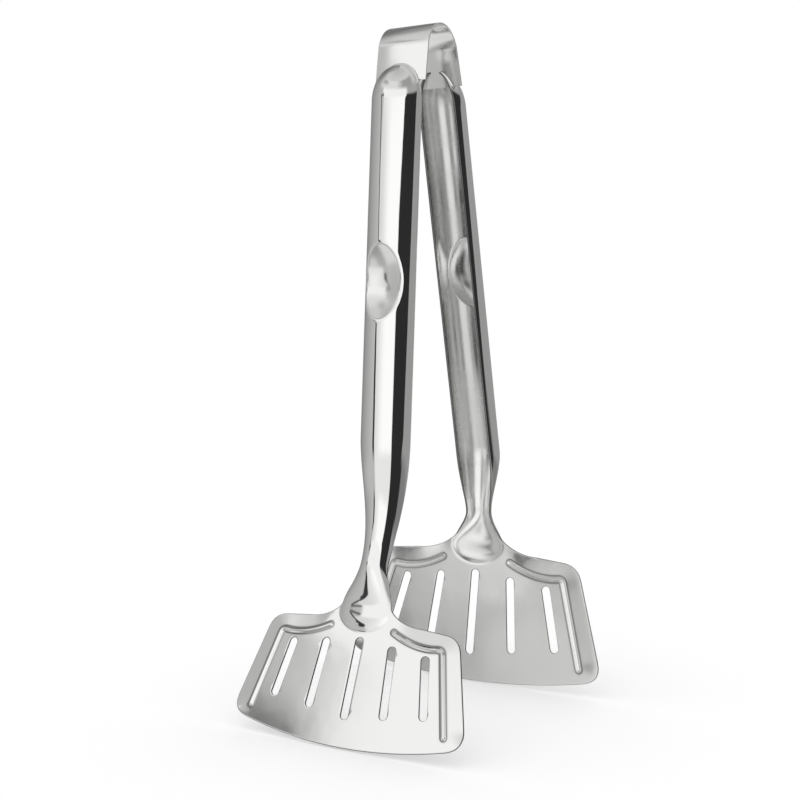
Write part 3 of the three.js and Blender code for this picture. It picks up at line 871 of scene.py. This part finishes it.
# %% The net of triangles
def net(arm):
    """Triangles of the sheet, with their points, and each edge loop as a list of point numbers."""
    ties, start = [], 0
    for ring, _, _ in arm["edges"]:
        ties += [(start + k, start + (k + 1) % len(ring)) for k in range(len(ring))]
        start += len(ring)
    places = [Vector(p) for p in arm["points"].tolist()]
    joined, _, faces, sources, _, _ = delaunay_2d_cdt(places, ties, [], 0, 1e-7)
    points = np.array([p[:] for p in joined])
    renamed = {old: new for new, olds in enumerate(sources) for old in olds}
    triangles = np.array([face for face in faces if len(face) == 3])
    middles = points[triangles].mean(axis=1)
    keep = inside(arm["edges"][0][0], middles)
    loops, start = [], 0
    for number, (ring, _, _) in enumerate(arm["edges"]):
        if number:
            keep &= ~inside(ring, middles)
        loops.append([renamed[start + k] for k in range(len(ring))])
        start += len(ring)
    return points, triangles[keep], loops


for arm in (FRONT, REAR):
    arm["net"] = net(arm)
    print("triangles", len(arm["net"][1]), "loops", [len(loop) for loop in arm["net"][2]])


# %% Bending and placing
def bent(arm, places):
    """The straight blank bent over its radius, in the arm's own frame, in millimetres."""
    x, s, h = places.T
    way = math.copysign(1, arm["bend"])
    past = np.maximum(s - arm["straight"], 0)
    turn = np.minimum(past / arm["bend_radius"], abs(arm["bend"]))
    rest = past - turn * arm["bend_radius"]
    out = arm["bend_radius"] * (1 - np.cos(turn)) + rest * np.sin(turn)
    down = arm["bend_radius"] * np.sin(turn) + rest * np.cos(turn) + np.minimum(s, arm["straight"])
    return np.stack([x, -way * out - h * np.cos(turn), way * h * np.sin(turn) - down], axis=1)


def placed(arm, places):
    """From the arm's own frame to the standing tongs, in metres."""
    hang = Matrix.Translation((0, -HANDLE_TOP_OFFSET, -HANDLE_TOP_DROP))
    hang = hang @ Matrix.Rotation(-HANDLE_LEAN, 4, "X")
    half_turn = Matrix.Rotation(math.pi, 4, "Z") if arm is REAR else Matrix.Identity(4)
    whole = np.array(STAND @ half_turn @ hang)
    return (places @ whole[:3, :3].T + whole[:3, 3]) * MM


print("bend of the front arm", round(math.degrees(FRONT["bend"]), 1), "degrees")


# %% Thickness and edges
HALF_STEEL = HALF_SHEET - 0.02  # a hair inside the CAD solid
OUTER_TURNS, INNER_TURNS = (25, 50, 90), (90, 50, 25)
SATIN_BLADE, SATIN_DISH, SATIN_INSIDE, SATIN_BLADE_INSIDE, SATIN_EDGE = 0.15, 0.9, 1.3, 0.3, 0.6
SATIN_START, SATIN_FULL, SATIN_DISH_DEPTH = 60, 8, 2  # above the slots, and into the dish
INSIDE_GRAIN = (0, 0, 40)  # so that the inside isn't a copy of the outside


def sheet_solid(arm):
    """Outer side, inner side and rounded edges of an arm as points and faces."""
    points, triangles, loops = arm["net"]
    normal = tangents(arm["table"], points[:, 0], points[:, 1])[2]
    middle = sample(arm["table"], points[:, 0], points[:, 1])
    ridge, groove, drop, foot_painted_shade = bead_height(arm, middle[:, 0], middle[:, 1])
    outer = middle + normal * (HALF_STEEL + ridge - drop)[:, None]
    inner = middle + normal * (groove - HALF_STEEL - drop)[:, None]
    count = len(points)
    places, quads = [outer, inner], []
    faces = [triangles, triangles[:, ::-1] + count]
    start = 2 * count
    for loop, (_, away, radius) in zip(loops, arm["edges"]):
        loop = np.array(loop)
        rows = [loop]
        for base, sign, turns in ((outer, -1, OUTER_TURNS), (inner, 1, INNER_TURNS)):
            for turn in np.radians(turns):
                sunk = sign * normal[loop] * radius * (1 - math.cos(turn))
                places.append(base[loop] + (away * radius * math.sin(turn) + sunk))
                rows.append(np.arange(start, start + len(loop)))
                start += len(loop)
        rows.append(loop + count)
        for above, below in zip(rows[:-1], rows[1:]):
            quads.append(np.stack([above, np.roll(above, -1), np.roll(below, -1), below], axis=1))
    facts = surface_facts(arm, points, middle, foot_painted_shade, loops)
    return np.concatenate(places), faces, quads, facts


def surface_facts(arm, points, middle, foot_painted_shade, loops):
    """For the material at each point: place on the sheet, how satin it is, and where dark reflection and
    shade are painted.
    """
    grain = np.stack([points[:, 0], points[:, 1], np.zeros(len(points))], axis=1)
    x, s, h = middle.T
    on_blade = smooth_step(s, arm["slot"] - SATIN_START, arm["slot"] - SATIN_FULL)
    in_dish = np.where(h > 0, smooth_step(dish_push(x, s), 0, SATIN_DISH_DEPTH), 0)
    rows = len(OUTER_TURNS + INNER_TURNS)
    edges = rows * sum(len(loop) for loop in loops)
    outside = on_blade * SATIN_BLADE + in_dish * SATIN_DISH
    inner_side = SATIN_INSIDE - on_blade * SATIN_BLADE_INSIDE
    edge_grain = [grain[loop] for loop in loops for _ in range(rows)]
    return dict(
        grain=np.concatenate([grain, grain + INSIDE_GRAIN] + edge_grain),
        satin=np.concatenate([outside, inner_side, np.full(edges, SATIN_EDGE)]),
        # Painted shade along the beads' feet on both sides, and a painted dark reflection on every cut edge.
        painted_shade=np.concatenate([foot_painted_shade, foot_painted_shade, np.ones(edges)]),
    )


print("half of the steel", HALF_STEEL, "mm")


# %% The two arms
import bmesh


def finished(name, mesh):
    """Turns all faces outwards, shades them smooth and makes the mesh an object."""
    work = bmesh.new()
    work.from_mesh(mesh)
    bmesh.ops.recalc_face_normals(work, faces=work.faces)
    if work.calc_volume(signed=True) < 0:
        bmesh.ops.reverse_faces(work, faces=work.faces)
    volume = round(work.calc_volume(signed=True) * 1e6, 2)
    open_edges = sum(not edge.is_manifold for edge in work.edges)
    work.to_mesh(mesh)
    work.free()
    mesh.shade_smooth()
    piece = bpy.data.objects.new(name, mesh)
    scene.collection.objects.link(piece)
    print(name, "faces", len(mesh.polygons), "volume", volume, "cubic cm, open edges", open_edges)
    return piece


def make_arm(label, arm):
    """One arm as an object, with what its material reads stored on its points."""
    places, triangles, quads, facts = sheet_solid(arm)
    places = placed(arm, bent(arm, places))
    mesh = bpy.data.meshes.new(label)
    faces = np.concatenate(triangles).tolist() + np.concatenate(quads).tolist()
    mesh.from_pydata(places.tolist(), [], faces)
    grain = mesh.attributes.new("grain", "FLOAT_VECTOR", "POINT")
    grain.data.foreach_set("vector", facts["grain"].astype(np.float32).ravel())
    # The second number is painted shade at the beads' feet and painted dark reflection on the cut edges.
    for name in ("satin", "painted_shade"):
        share = mesh.attributes.new(name, "FLOAT", "POINT")
        share.data.foreach_set("value", facts[name].astype(np.float32))
    return finished(label, mesh)


front_arm = make_arm("front_arm_steel", FRONT)
rear_arm = make_arm("rear_arm_steel", REAR)

# %% [markdown]
# ## The bow spring
# The spring is a strip of flat steel with a round crown and two straight legs that stand in the slits
# of the handles. It follows a path, so a second Geometry Nodes tree makes it: an arc through three
# points and two lines become one curve, and a rounded rectangle is drawn along it.

# %% The bow spring: its path
bow = Tree("bow_strip", [
    ("Width", FLOAT, 27.8), ("Thickness", FLOAT, 1.0), ("Half span", FLOAT, 15.6), ("Rise", FLOAT, 10.2),
    ("Leg length", FLOAT, 19.1), ("Leg lean", FLOAT, 0.24), ("Edge radius", FLOAT, 0.25), ("Steps", INT, 40),
])
given = bow.source.outputs
middle_drop = bow.times(given["Thickness"], -0.5)
foot_drop = bow.times(given["Rise"], -1.0)
rear_side = bow.minus(given["Half span"], bow.times(given["Thickness"], 0.5))
front_side = bow.times(rear_side, -1.0)
leg_reach = bow.times(given["Leg length"], bow.math("SINE", given["Leg lean"]))
rear_foot = bow.math("ADD", rear_side, leg_reach)
front_foot = bow.times(rear_foot, -1.0)
leg_drop = bow.times(given["Leg length"], bow.math("COSINE", given["Leg lean"]))
foot_z = bow.minus(foot_drop, leg_drop)
crown = bow.add("GeometryNodeCurveArc", {
    "Resolution": given["Steps"], "Start": bow.vector(0.0, front_side, foot_drop),
    "Middle": bow.vector(0.0, 0.0, middle_drop), "End": bow.vector(0.0, rear_side, foot_drop),
}, mode="POINTS").outputs[0]
front_leg = bow.add("GeometryNodeCurvePrimitiveLine", {
    "Start": bow.vector(0.0, front_foot, foot_z), "End": bow.vector(0.0, front_side, foot_drop)}).outputs[0]
rear_leg = bow.add("GeometryNodeCurvePrimitiveLine", {
    "Start": bow.vector(0.0, rear_side, foot_drop), "End": bow.vector(0.0, rear_foot, foot_z)}).outputs[0]
print("bow tree inputs", list(bow.ids))

# %% The bow spring: its strip
LEG_POINTS, WELD_GAP, EDGE_POINTS = 12, 0.01, 3


def joined_curves(curves):
    join = bow.add("GeometryNodeJoinGeometry")
    for source in curves:
        bow.tree.links.new(source, join.inputs[0])
    return join.outputs[0]


legs = joined_curves((rear_leg, front_leg))
fine_legs = bow.add("GeometryNodeResampleCurve", {"Curve": legs, "Count": LEG_POINTS}).outputs[0]
wires = bow.add("GeometryNodeCurveToMesh", {"Curve": joined_curves((fine_legs, crown))}).outputs[0]
welded = bow.add("GeometryNodeMergeByDistance", {"Geometry": wires, "Distance": WELD_GAP}).outputs[0]
path = bow.add("GeometryNodeMeshToCurve", {"Mesh": welded}).outputs[0]
steady = bow.add("GeometryNodeSetCurveNormal", {"Curve": path}, mode="Z_UP").outputs[0]
profile = bow.add("GeometryNodeCurvePrimitiveQuadrilateral", {
    "Width": given["Width"], "Height": given["Thickness"]}).outputs[0]
rounded_profile = bow.add("GeometryNodeFilletCurve", {
    "Curve": profile, "Radius": given["Edge radius"], "Count": EDGE_POINTS}, mode="POLY").outputs[0]
strip = bow.add("GeometryNodeCurveToMesh", {
    "Curve": steady, "Profile Curve": rounded_profile, "Fill Caps": True}).outputs[0]
bow.finish(strip, steel_marker)
strip_mesh = bow.bake("bow_spring_steel", {
    "Width": float(SPRING_WIDTH), "Thickness": float(SPRING_THICKNESS),
    "Half span": float(SPRING_HALF_SPAN), "Rise": float(CROWN_RISE), "Leg length": float(LEG_LENGTH),
    "Leg lean": LEG_LEAN, "Edge radius": 0.25, "Steps": 40,
})
strip_mesh.transform(Matrix.Scale(MM, 4) @ STAND)
bow_spring = finished("bow_spring_steel", strip_mesh)

# %% [markdown]
# ## Riding and standing in
# Both arms ride on their bodies as they are. On the real tongs the bow is fixed to both arms and bends
# when they close; here it is only set in place as it stands and rides on neither body.

# %% Riding and standing in
for piece, body, node in ((front_arm, "front", "front_arm"), (rear_arm, "rear", "rear_arm")):
    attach(piece, body)
    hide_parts(node)
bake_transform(bow_spring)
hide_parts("bow_spring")

# %% [markdown]
# ## Polished and satin steel
# Steel has hardly any colour of its own: it shows its finish by how sharply it mirrors. The outsides are
# polished, with only the faint waves that a press and a buffing wheel leave. The insides and the thumb
# dishes are satin, with fine lines along the sheet. Both share one shader, and a number on each point
# of the mesh says how satin the steel is there. A second number paints a dark reflection on the cut edges
# and a dark line of shade along the beads' feet. Light is mirrored two or more times inside a channel and is
# dimmed each time, so the steel is a little brighter here than its single reflection, and the studio is
# dimmed to match.

# %% Shader helper
class Shader(Nodes):
    """A short way to write the nodes of a material or of the world."""

    def __init__(self, owner, output="ShaderNodeOutputMaterial"):
        owner.use_nodes = True
        super().__init__(owner.node_tree)
        self.owner = owner
        self.tree.nodes.clear()
        self.out = self.add(output)

    def between(self, value, start, end, before, after, smooth=True):
        """A value mapped from start..end to before..after."""
        kind = "SMOOTHSTEP" if smooth else "LINEAR"
        links = {"Value": value, "From Min": start, "From Max": end, "To Min": before, "To Max": after}
        return self.add("ShaderNodeMapRange", links, interpolation_type=kind).outputs[0]

    def rising(self, value, start, end):
        """0 up to the start and 1 from the end on."""
        return self.between(value, start, end, 0.0, 1.0)

    def falling(self, value, start, end):
        """1 up to the start and 0 from the end on."""
        return self.between(value, start, end, 1.0, 0.0)

    def band(self, value, start, end, soft):
        """1 where the value lies between two limits and 0 elsewhere, with soft borders."""
        return self.times(
            self.rising(value, start - soft, start + soft), self.falling(value, end - soft, end + soft))

    def layer(self, below, share, value):
        """One value laid over another by its share."""
        return self.add("ShaderNodeMix", {0: share, 2: below, 3: value}, data_type="FLOAT").outputs[0]

    def steps(self, value, first, rows):
        """A first brightness, and for each row (start, end, brightness) a change to the next one."""
        result = first
        for start, end, brightness in rows:
            result = self.layer(result, self.rising(value, start, end), brightness)
        return result

    def noise(self, place, scale, detail):
        links = {"Vector": place, "Scale": scale, "Detail": detail}
        return self.add("ShaderNodeTexNoise", links).outputs["Fac"]

    def stretched(self, place, scales):
        """A place whose sides are scaled, which draws a pattern out into lines."""
        return self.add("ShaderNodeVectorMath", {0: place, 1: scales}, operation="MULTIPLY").outputs[0]

    def bump(self, height, strength, distance, **normal):
        links = {"Height": height, "Strength": strength, "Distance": distance, **normal}
        return self.add("ShaderNodeBump", links).outputs[0]

    def metal(self, colour, roughness, normal):
        shader = self.add("ShaderNodeBsdfPrincipled", {
            "Base Color": colour, "Metallic": 1.0, "Roughness": roughness, "Normal": normal})
        return self.surface(shader.outputs[0])

    def surface(self, shader):
        self.tree.links.new(shader, self.out.inputs["Surface"])
        return self.owner


print("shader helper ready")

# %% Polished steel
# The dark colour is painted: dark reflection on the cut edges and shade along the beads' feet.
STEEL_COLOUR, PAINTED_SHADE_COLOUR = (0.88, 0.88, 0.87, 1), (0.22, 0.22, 0.22, 1)
POLISHED_ROUGHNESS, SATIN_MORE = 0.045, 0.155
ARM_LINES = (5.0, 0.12, 1.0)  # per mm across and along the sheet
WAVE_SCALE, SMUDGE_SCALE = 0.09, 0.05
LINE_DEPTH, WAVE_DEPTH = 0.000004, 0.00004
SMUDGE_EFFECT, LINE_EFFECT = (0.3, 0.7, 0.85, 1.2), (0.3, 0.7, 0.96, 1.04)  # noise to roughness


def polished_steel():
    steel = Shader(bpy.data.materials.new("polished_steel"))
    place = steel.add("ShaderNodeAttribute", attribute_name="grain").outputs["Vector"]
    satin, painted_shade = (
        steel.add("ShaderNodeAttribute", attribute_name=name).outputs["Fac"] for name in ("satin", "painted_shade"))
    lines = steel.noise(steel.stretched(place, ARM_LINES), 1.0, 3.0)
    waves = steel.noise(place, WAVE_SCALE, 1.0)
    smudge = steel.noise(place, SMUDGE_SCALE, 4.0)
    # Painted shade and painted dark reflection: the steel turns dark on the cut edges and at the beads' feet.
    colour = steel.add("ShaderNodeMix", {0: painted_shade, 6: STEEL_COLOUR, 7: PAINTED_SHADE_COLOUR}, data_type="RGBA").outputs[2]
    base = steel.math("MULTIPLY_ADD", satin, SATIN_MORE, POLISHED_ROUGHNESS)
    uneven = steel.times(steel.between(smudge, *SMUDGE_EFFECT), steel.between(lines, *LINE_EFFECT))
    line_bump = steel.bump(steel.times(lines, satin), 0.15, LINE_DEPTH)
    wave_bump = steel.bump(waves, 0.5, WAVE_DEPTH, Normal=line_bump)
    return steel.metal(colour, steel.times(base, uneven), wave_bump)


polished = polished_steel()
for arm_piece in (front_arm, rear_arm):
    arm_piece.data.materials.clear()
    arm_piece.data.materials.append(polished)
print("arms", polished.name, "with", len(polished.node_tree.nodes), "nodes")

# %% Satin spring steel
SPRING_COLOUR = (0.9, 0.9, 0.89, 1)
SPRING_LINES, SPRING_SMUDGE = (4000.0, 60.0, 60.0), 90.0  # per metre
SPRING_LINE_DEPTH = 0.00001
SPRING_SMUDGE_EFFECT, SPRING_LINE_EFFECT = (0.3, 0.7, 0.85, 1.15), (0.3, 0.7, 0.13, 0.17)


def satin_spring():
    steel = Shader(bpy.data.materials.new("satin_spring_steel"))
    place = steel.add("ShaderNodeTexCoord").outputs["Object"]
    lines = steel.noise(steel.stretched(place, SPRING_LINES), 1.0, 2.0)
    smudge = steel.noise(place, SPRING_SMUDGE, 3.0)
    roughness = steel.times(
        steel.between(smudge, *SPRING_SMUDGE_EFFECT), steel.between(lines, *SPRING_LINE_EFFECT))
    return steel.metal(SPRING_COLOUR, roughness, steel.bump(lines, 0.15, SPRING_LINE_DEPTH))


bow_spring.data.materials.clear()
bow_spring.data.materials.append(satin_spring())
print("spring", bow_spring.data.materials[0].name)

# %% [markdown]
# ## Floor and light
# Polished steel is a picture of the room it stands in. Makers photograph it inside a tent of white
# cloth with a few dark cards, so that the handle shows clean bright and dark bands. Here that studio is
# drawn in the world itself, by the direction in which a reflected ray leaves, and only reflections see
# it. For all other rays the world is plain white, which lights the pale floor and keeps the soft shadow
# under the blades. Reflections see the studio's drawn ground in place of the floor.

# %% Floor
FLOOR_HALF, FLOOR_LEVEL = 6.0, -0.0003
FLOOR_COLOUR, FLOOR_GLOW = (0.8, 0.8, 0.8, 1), 0.22


def flat_piece(name, corners):
    """A four-cornered stage piece, which isn't part of the tongs."""
    mesh = bpy.data.meshes.new(name)
    mesh.from_pydata(corners, [], [(0, 1, 2, 3)])
    piece = bpy.data.objects.new(name, mesh)
    scene.collection.objects.link(piece)
    return piece


corner_signs = ((-1, -1), (1, -1), (1, 1), (-1, 1))
floor = flat_piece("floor", [(x * FLOOR_HALF, y * FLOOR_HALF, FLOOR_LEVEL) for x, y in corner_signs])
floor.visible_glossy = False
pale = Shader(bpy.data.materials.new("pale_floor"))
matt = pale.add("ShaderNodeBsdfDiffuse", {"Color": FLOOR_COLOUR}).outputs[0]
rays = pale.add("ShaderNodeLightPath").outputs
mirrored_or_through = pale.math("MAXIMUM", rays["Is Glossy Ray"], rays["Is Transmission Ray"])
seen = pale.math("MAXIMUM", rays["Is Camera Ray"], mirrored_or_through)
glow = pale.add("ShaderNodeEmission", {"Strength": pale.times(seen, FLOOR_GLOW)}).outputs[0]
floor.data.materials.append(pale.surface(pale.add("ShaderNodeAddShader", {0: matt, 1: glow}).outputs[0]))
print("floor", 2 * FLOOR_HALF, "m wide")

# %% [markdown]
# ## The drawn studio
# A direction has an azimuth and a rise above the floor, both in degrees. Azimuth 0 is the side that the
# photograph was taken from, and azimuths grow to the right of it. The studio stays where it is when the
# camera moves. The walls are drawn first, then the ceiling and the ground over them. Each change of
# brightness has a start and an end, so its border can be crisp or soft.

# %% The studio: directions
TO_FRONT, TO_RIGHT = (0.484, -0.875, 0), (0.875, 0.484, 0)
WHITE, BLACK = 1.25, 0.03
world = bpy.data.worlds.new("white_studio")
studio = Shader(world, "ShaderNodeOutputWorld")
way = studio.add("ShaderNodeTexCoord").outputs["Generated"]
to_right, to_front = (
    studio.add("ShaderNodeVectorMath", {0: way, 1: side}, operation="DOT_PRODUCT").outputs["Value"]
    for side in (TO_RIGHT, TO_FRONT))
azimuth = studio.math("DEGREES", studio.math("ARCTAN2", to_right, to_front))
way_up = studio.add("ShaderNodeSeparateXYZ", {0: way}).outputs[2]
rise = studio.math("DEGREES", studio.math("ARCSINE", way_up))
print("studio directions ready")

# %% The studio: bright and dark walls
# The bright wall's left border leans to the left as it rises, and its brightness grows to the right.
wall_left = studio.between(rise, 1, 17, -54, -74, smooth=False)
from_left = studio.minus(azimuth, wall_left)
from_left = studio.math("ADD", from_left, studio.between(rise, 24.3, 26, 0, 8))
cloth = studio.between(azimuth, -150, -72, 0.3, 0.6, smooth=False)
bright = studio.between(azimuth, -62, -12, 0.86, WHITE)
bright = studio.layer(bright, studio.rising(rise, 14, 19), 1.12)
border_start, border_end = studio.between(rise, 12, 17, -0.5, 8.5), studio.between(rise, 12, 17, 0.5, 14)
cloth = studio.layer(cloth, studio.rising(from_left, border_start, border_end), bright)
# A dark wall on the right makes the broad black band down the front handle.
black_edge = studio.between(rise, 10, 18, 28, 46, smooth=False)
from_black = studio.minus(azimuth, black_edge)
dark = studio.times(studio.rising(from_black, -0.8, 0.8), studio.falling(rise, 18, 24))
print("bright wall up to", WHITE, "dark wall down to", BLACK)

# %% The studio: thin line, corner and right side
LINE_WIDTH, LINE_VALUE = 1.5, 0.04
CORNER_VALUE, BEHIND_BLACK, RIGHT_VALUE = 0.17, 0.45, 0.38
# The line follows the bright wall's left border, and the corner shades the front blade's lower left.
line_start = studio.between(rise, 3, 8, -9.5, -4.5)
line_end = studio.math("ADD", line_start, LINE_WIDTH)
line = studio.times(studio.rising(from_left, line_start, line_end), studio.falling(from_left, -0.7, 0.7))
cloth = studio.layer(cloth, studio.times(line, studio.falling(rise, 17, 20)), LINE_VALUE)
corner = studio.times(studio.band(azimuth, -78, -62.7, 1.2), studio.band(rise, 17.5, 21, 1.2))
cloth = studio.layer(cloth, corner, CORNER_VALUE)
cloth = studio.layer(cloth, studio.rising(from_black, -6, 12), BEHIND_BLACK)
cloth = studio.layer(cloth, dark, BLACK)
from_right = studio.minus(azimuth, studio.times(rise, 0.9))
cloth = studio.layer(cloth, studio.rising(from_right, 90, 92), RIGHT_VALUE)
print("studio walls ready")

# %% The studio: ceiling
CEILING = ((-10, 42, 0.4), (75, 115, 0.75))  # azimuths from, to, and the brightness past them
BEAM_VALUE, TOP_VALUE = 0.42, 0.6
ceiling = studio.steps(azimuth, studio.between(azimuth, -145, -70, 0.2, 0.88), CEILING)
cloth = studio.layer(cloth, studio.rising(rise, 28, 40), ceiling)
# A soft beam across the ceiling shades the domes and the dishes.
beam = studio.times(studio.band(azimuth, -92, -58, 16), studio.band(rise, 43, 52, 5))
cloth = studio.layer(cloth, beam, BEAM_VALUE)
cloth = studio.layer(cloth, studio.rising(rise, 52, 58), studio.between(azimuth, -140, -95, 0.33, 0.72))
cloth = studio.layer(cloth, studio.rising(rise, 60, 88), TOP_VALUE)
print("studio ceiling ready")

# %% The studio: ground
# Three rings: the far ground, the ground in front of the tongs, and the ground right below them.
GROUND = ((-58, -48, 1.0), (27, 29, BLACK), (84, 92, 0.25))
GROUND_LEFT, GROUND_SIDES, GROUND_BELOW = 0.6, 0.85, 0.4
ground = studio.steps(azimuth, GROUND_LEFT, GROUND)
in_front = studio.band(azimuth, -70, 66, 8)
near_ground = studio.layer(GROUND_SIDES, in_front, studio.between(azimuth, -48, -36, 0.5, 0.8))
cloth = studio.layer(cloth, studio.falling(rise, -14, -8), ground)
cloth = studio.layer(cloth, studio.falling(rise, -27, -18), near_ground)
below = studio.layer(GROUND_SIDES, in_front, GROUND_BELOW)
cloth = studio.layer(cloth, studio.falling(rise, -48, -34), below)
print("studio ground ready")

# %% The world
STUDIO_DIM = 0.887  # a single reflection in the brighter steel is as bright as in the real one
mirrored = studio.add("ShaderNodeLightPath").outputs["Is Glossy Ray"]
shine = studio.layer(1.0, mirrored, studio.times(cloth, STUDIO_DIM))
background = studio.add("ShaderNodeBackground", {"Color": (1, 1, 1, 1), "Strength": shine})
scene.world = studio.surface(background.outputs[0])
scene.view_settings.view_transform = "Standard"
print("world", scene.world.name)

# %% [markdown]
# ## The dark card between the arms
# The two arms mirror each other. A dark card that only reflections see stands between the handles and
# gives the inside of the rear one its dark streak. Its borders are soft, so that it doesn't show as a
# rectangle in a side view.

# %% The dark card between the arms
CARD_LEFT, CARD_RIGHT, CARD_BOTTOM, CARD_TOP, CARD_SOFT = -0.04, -0.012, 0.132, 0.264, 0.006
CARD_MIDDLE, CARD_MIDDLE_COVER, CARD_GLOW = (0.175, 0.198), 0.45, 0.02
SPARE_SIDE, SPARE_END = 0.01, 0.02
low_x, high_x = CARD_LEFT - SPARE_SIDE, CARD_RIGHT + SPARE_SIDE
low_z, high_z = CARD_BOTTOM - SPARE_END, CARD_TOP + SPARE_END
black_card = flat_piece("black_card", [
    (low_x, 0, low_z), (high_x, 0, low_z), (high_x, 0, high_z), (low_x, 0, high_z)])
black_card.visible_camera = black_card.visible_diffuse = black_card.visible_shadow = False
card = Shader(bpy.data.materials.new("black_card"))
card_place = card.add("ShaderNodeTexCoord").outputs["Object"]
card_x, _, card_z = card.add("ShaderNodeSeparateXYZ", {0: card_place}).outputs
covered = card.times(
    card.band(card_x, CARD_LEFT, CARD_RIGHT, CARD_SOFT),
    card.band(card_z, CARD_BOTTOM, CARD_TOP, 2 * CARD_SOFT))
in_middle = card.band(card_z, *CARD_MIDDLE, CARD_SOFT)
covered = card.times(covered, card.layer(1.0, in_middle, CARD_MIDDLE_COVER))
clear = card.add("ShaderNodeBsdfTransparent").outputs[0]
dim = card.add("ShaderNodeEmission", {"Strength": CARD_GLOW}).outputs[0]
mixed = card.add("ShaderNodeMixShader", {0: covered, 1: clear, 2: dim}).outputs[0]
black_card.data.materials.append(card.surface(mixed))
print("card", round(high_z - low_z, 3), "m tall")
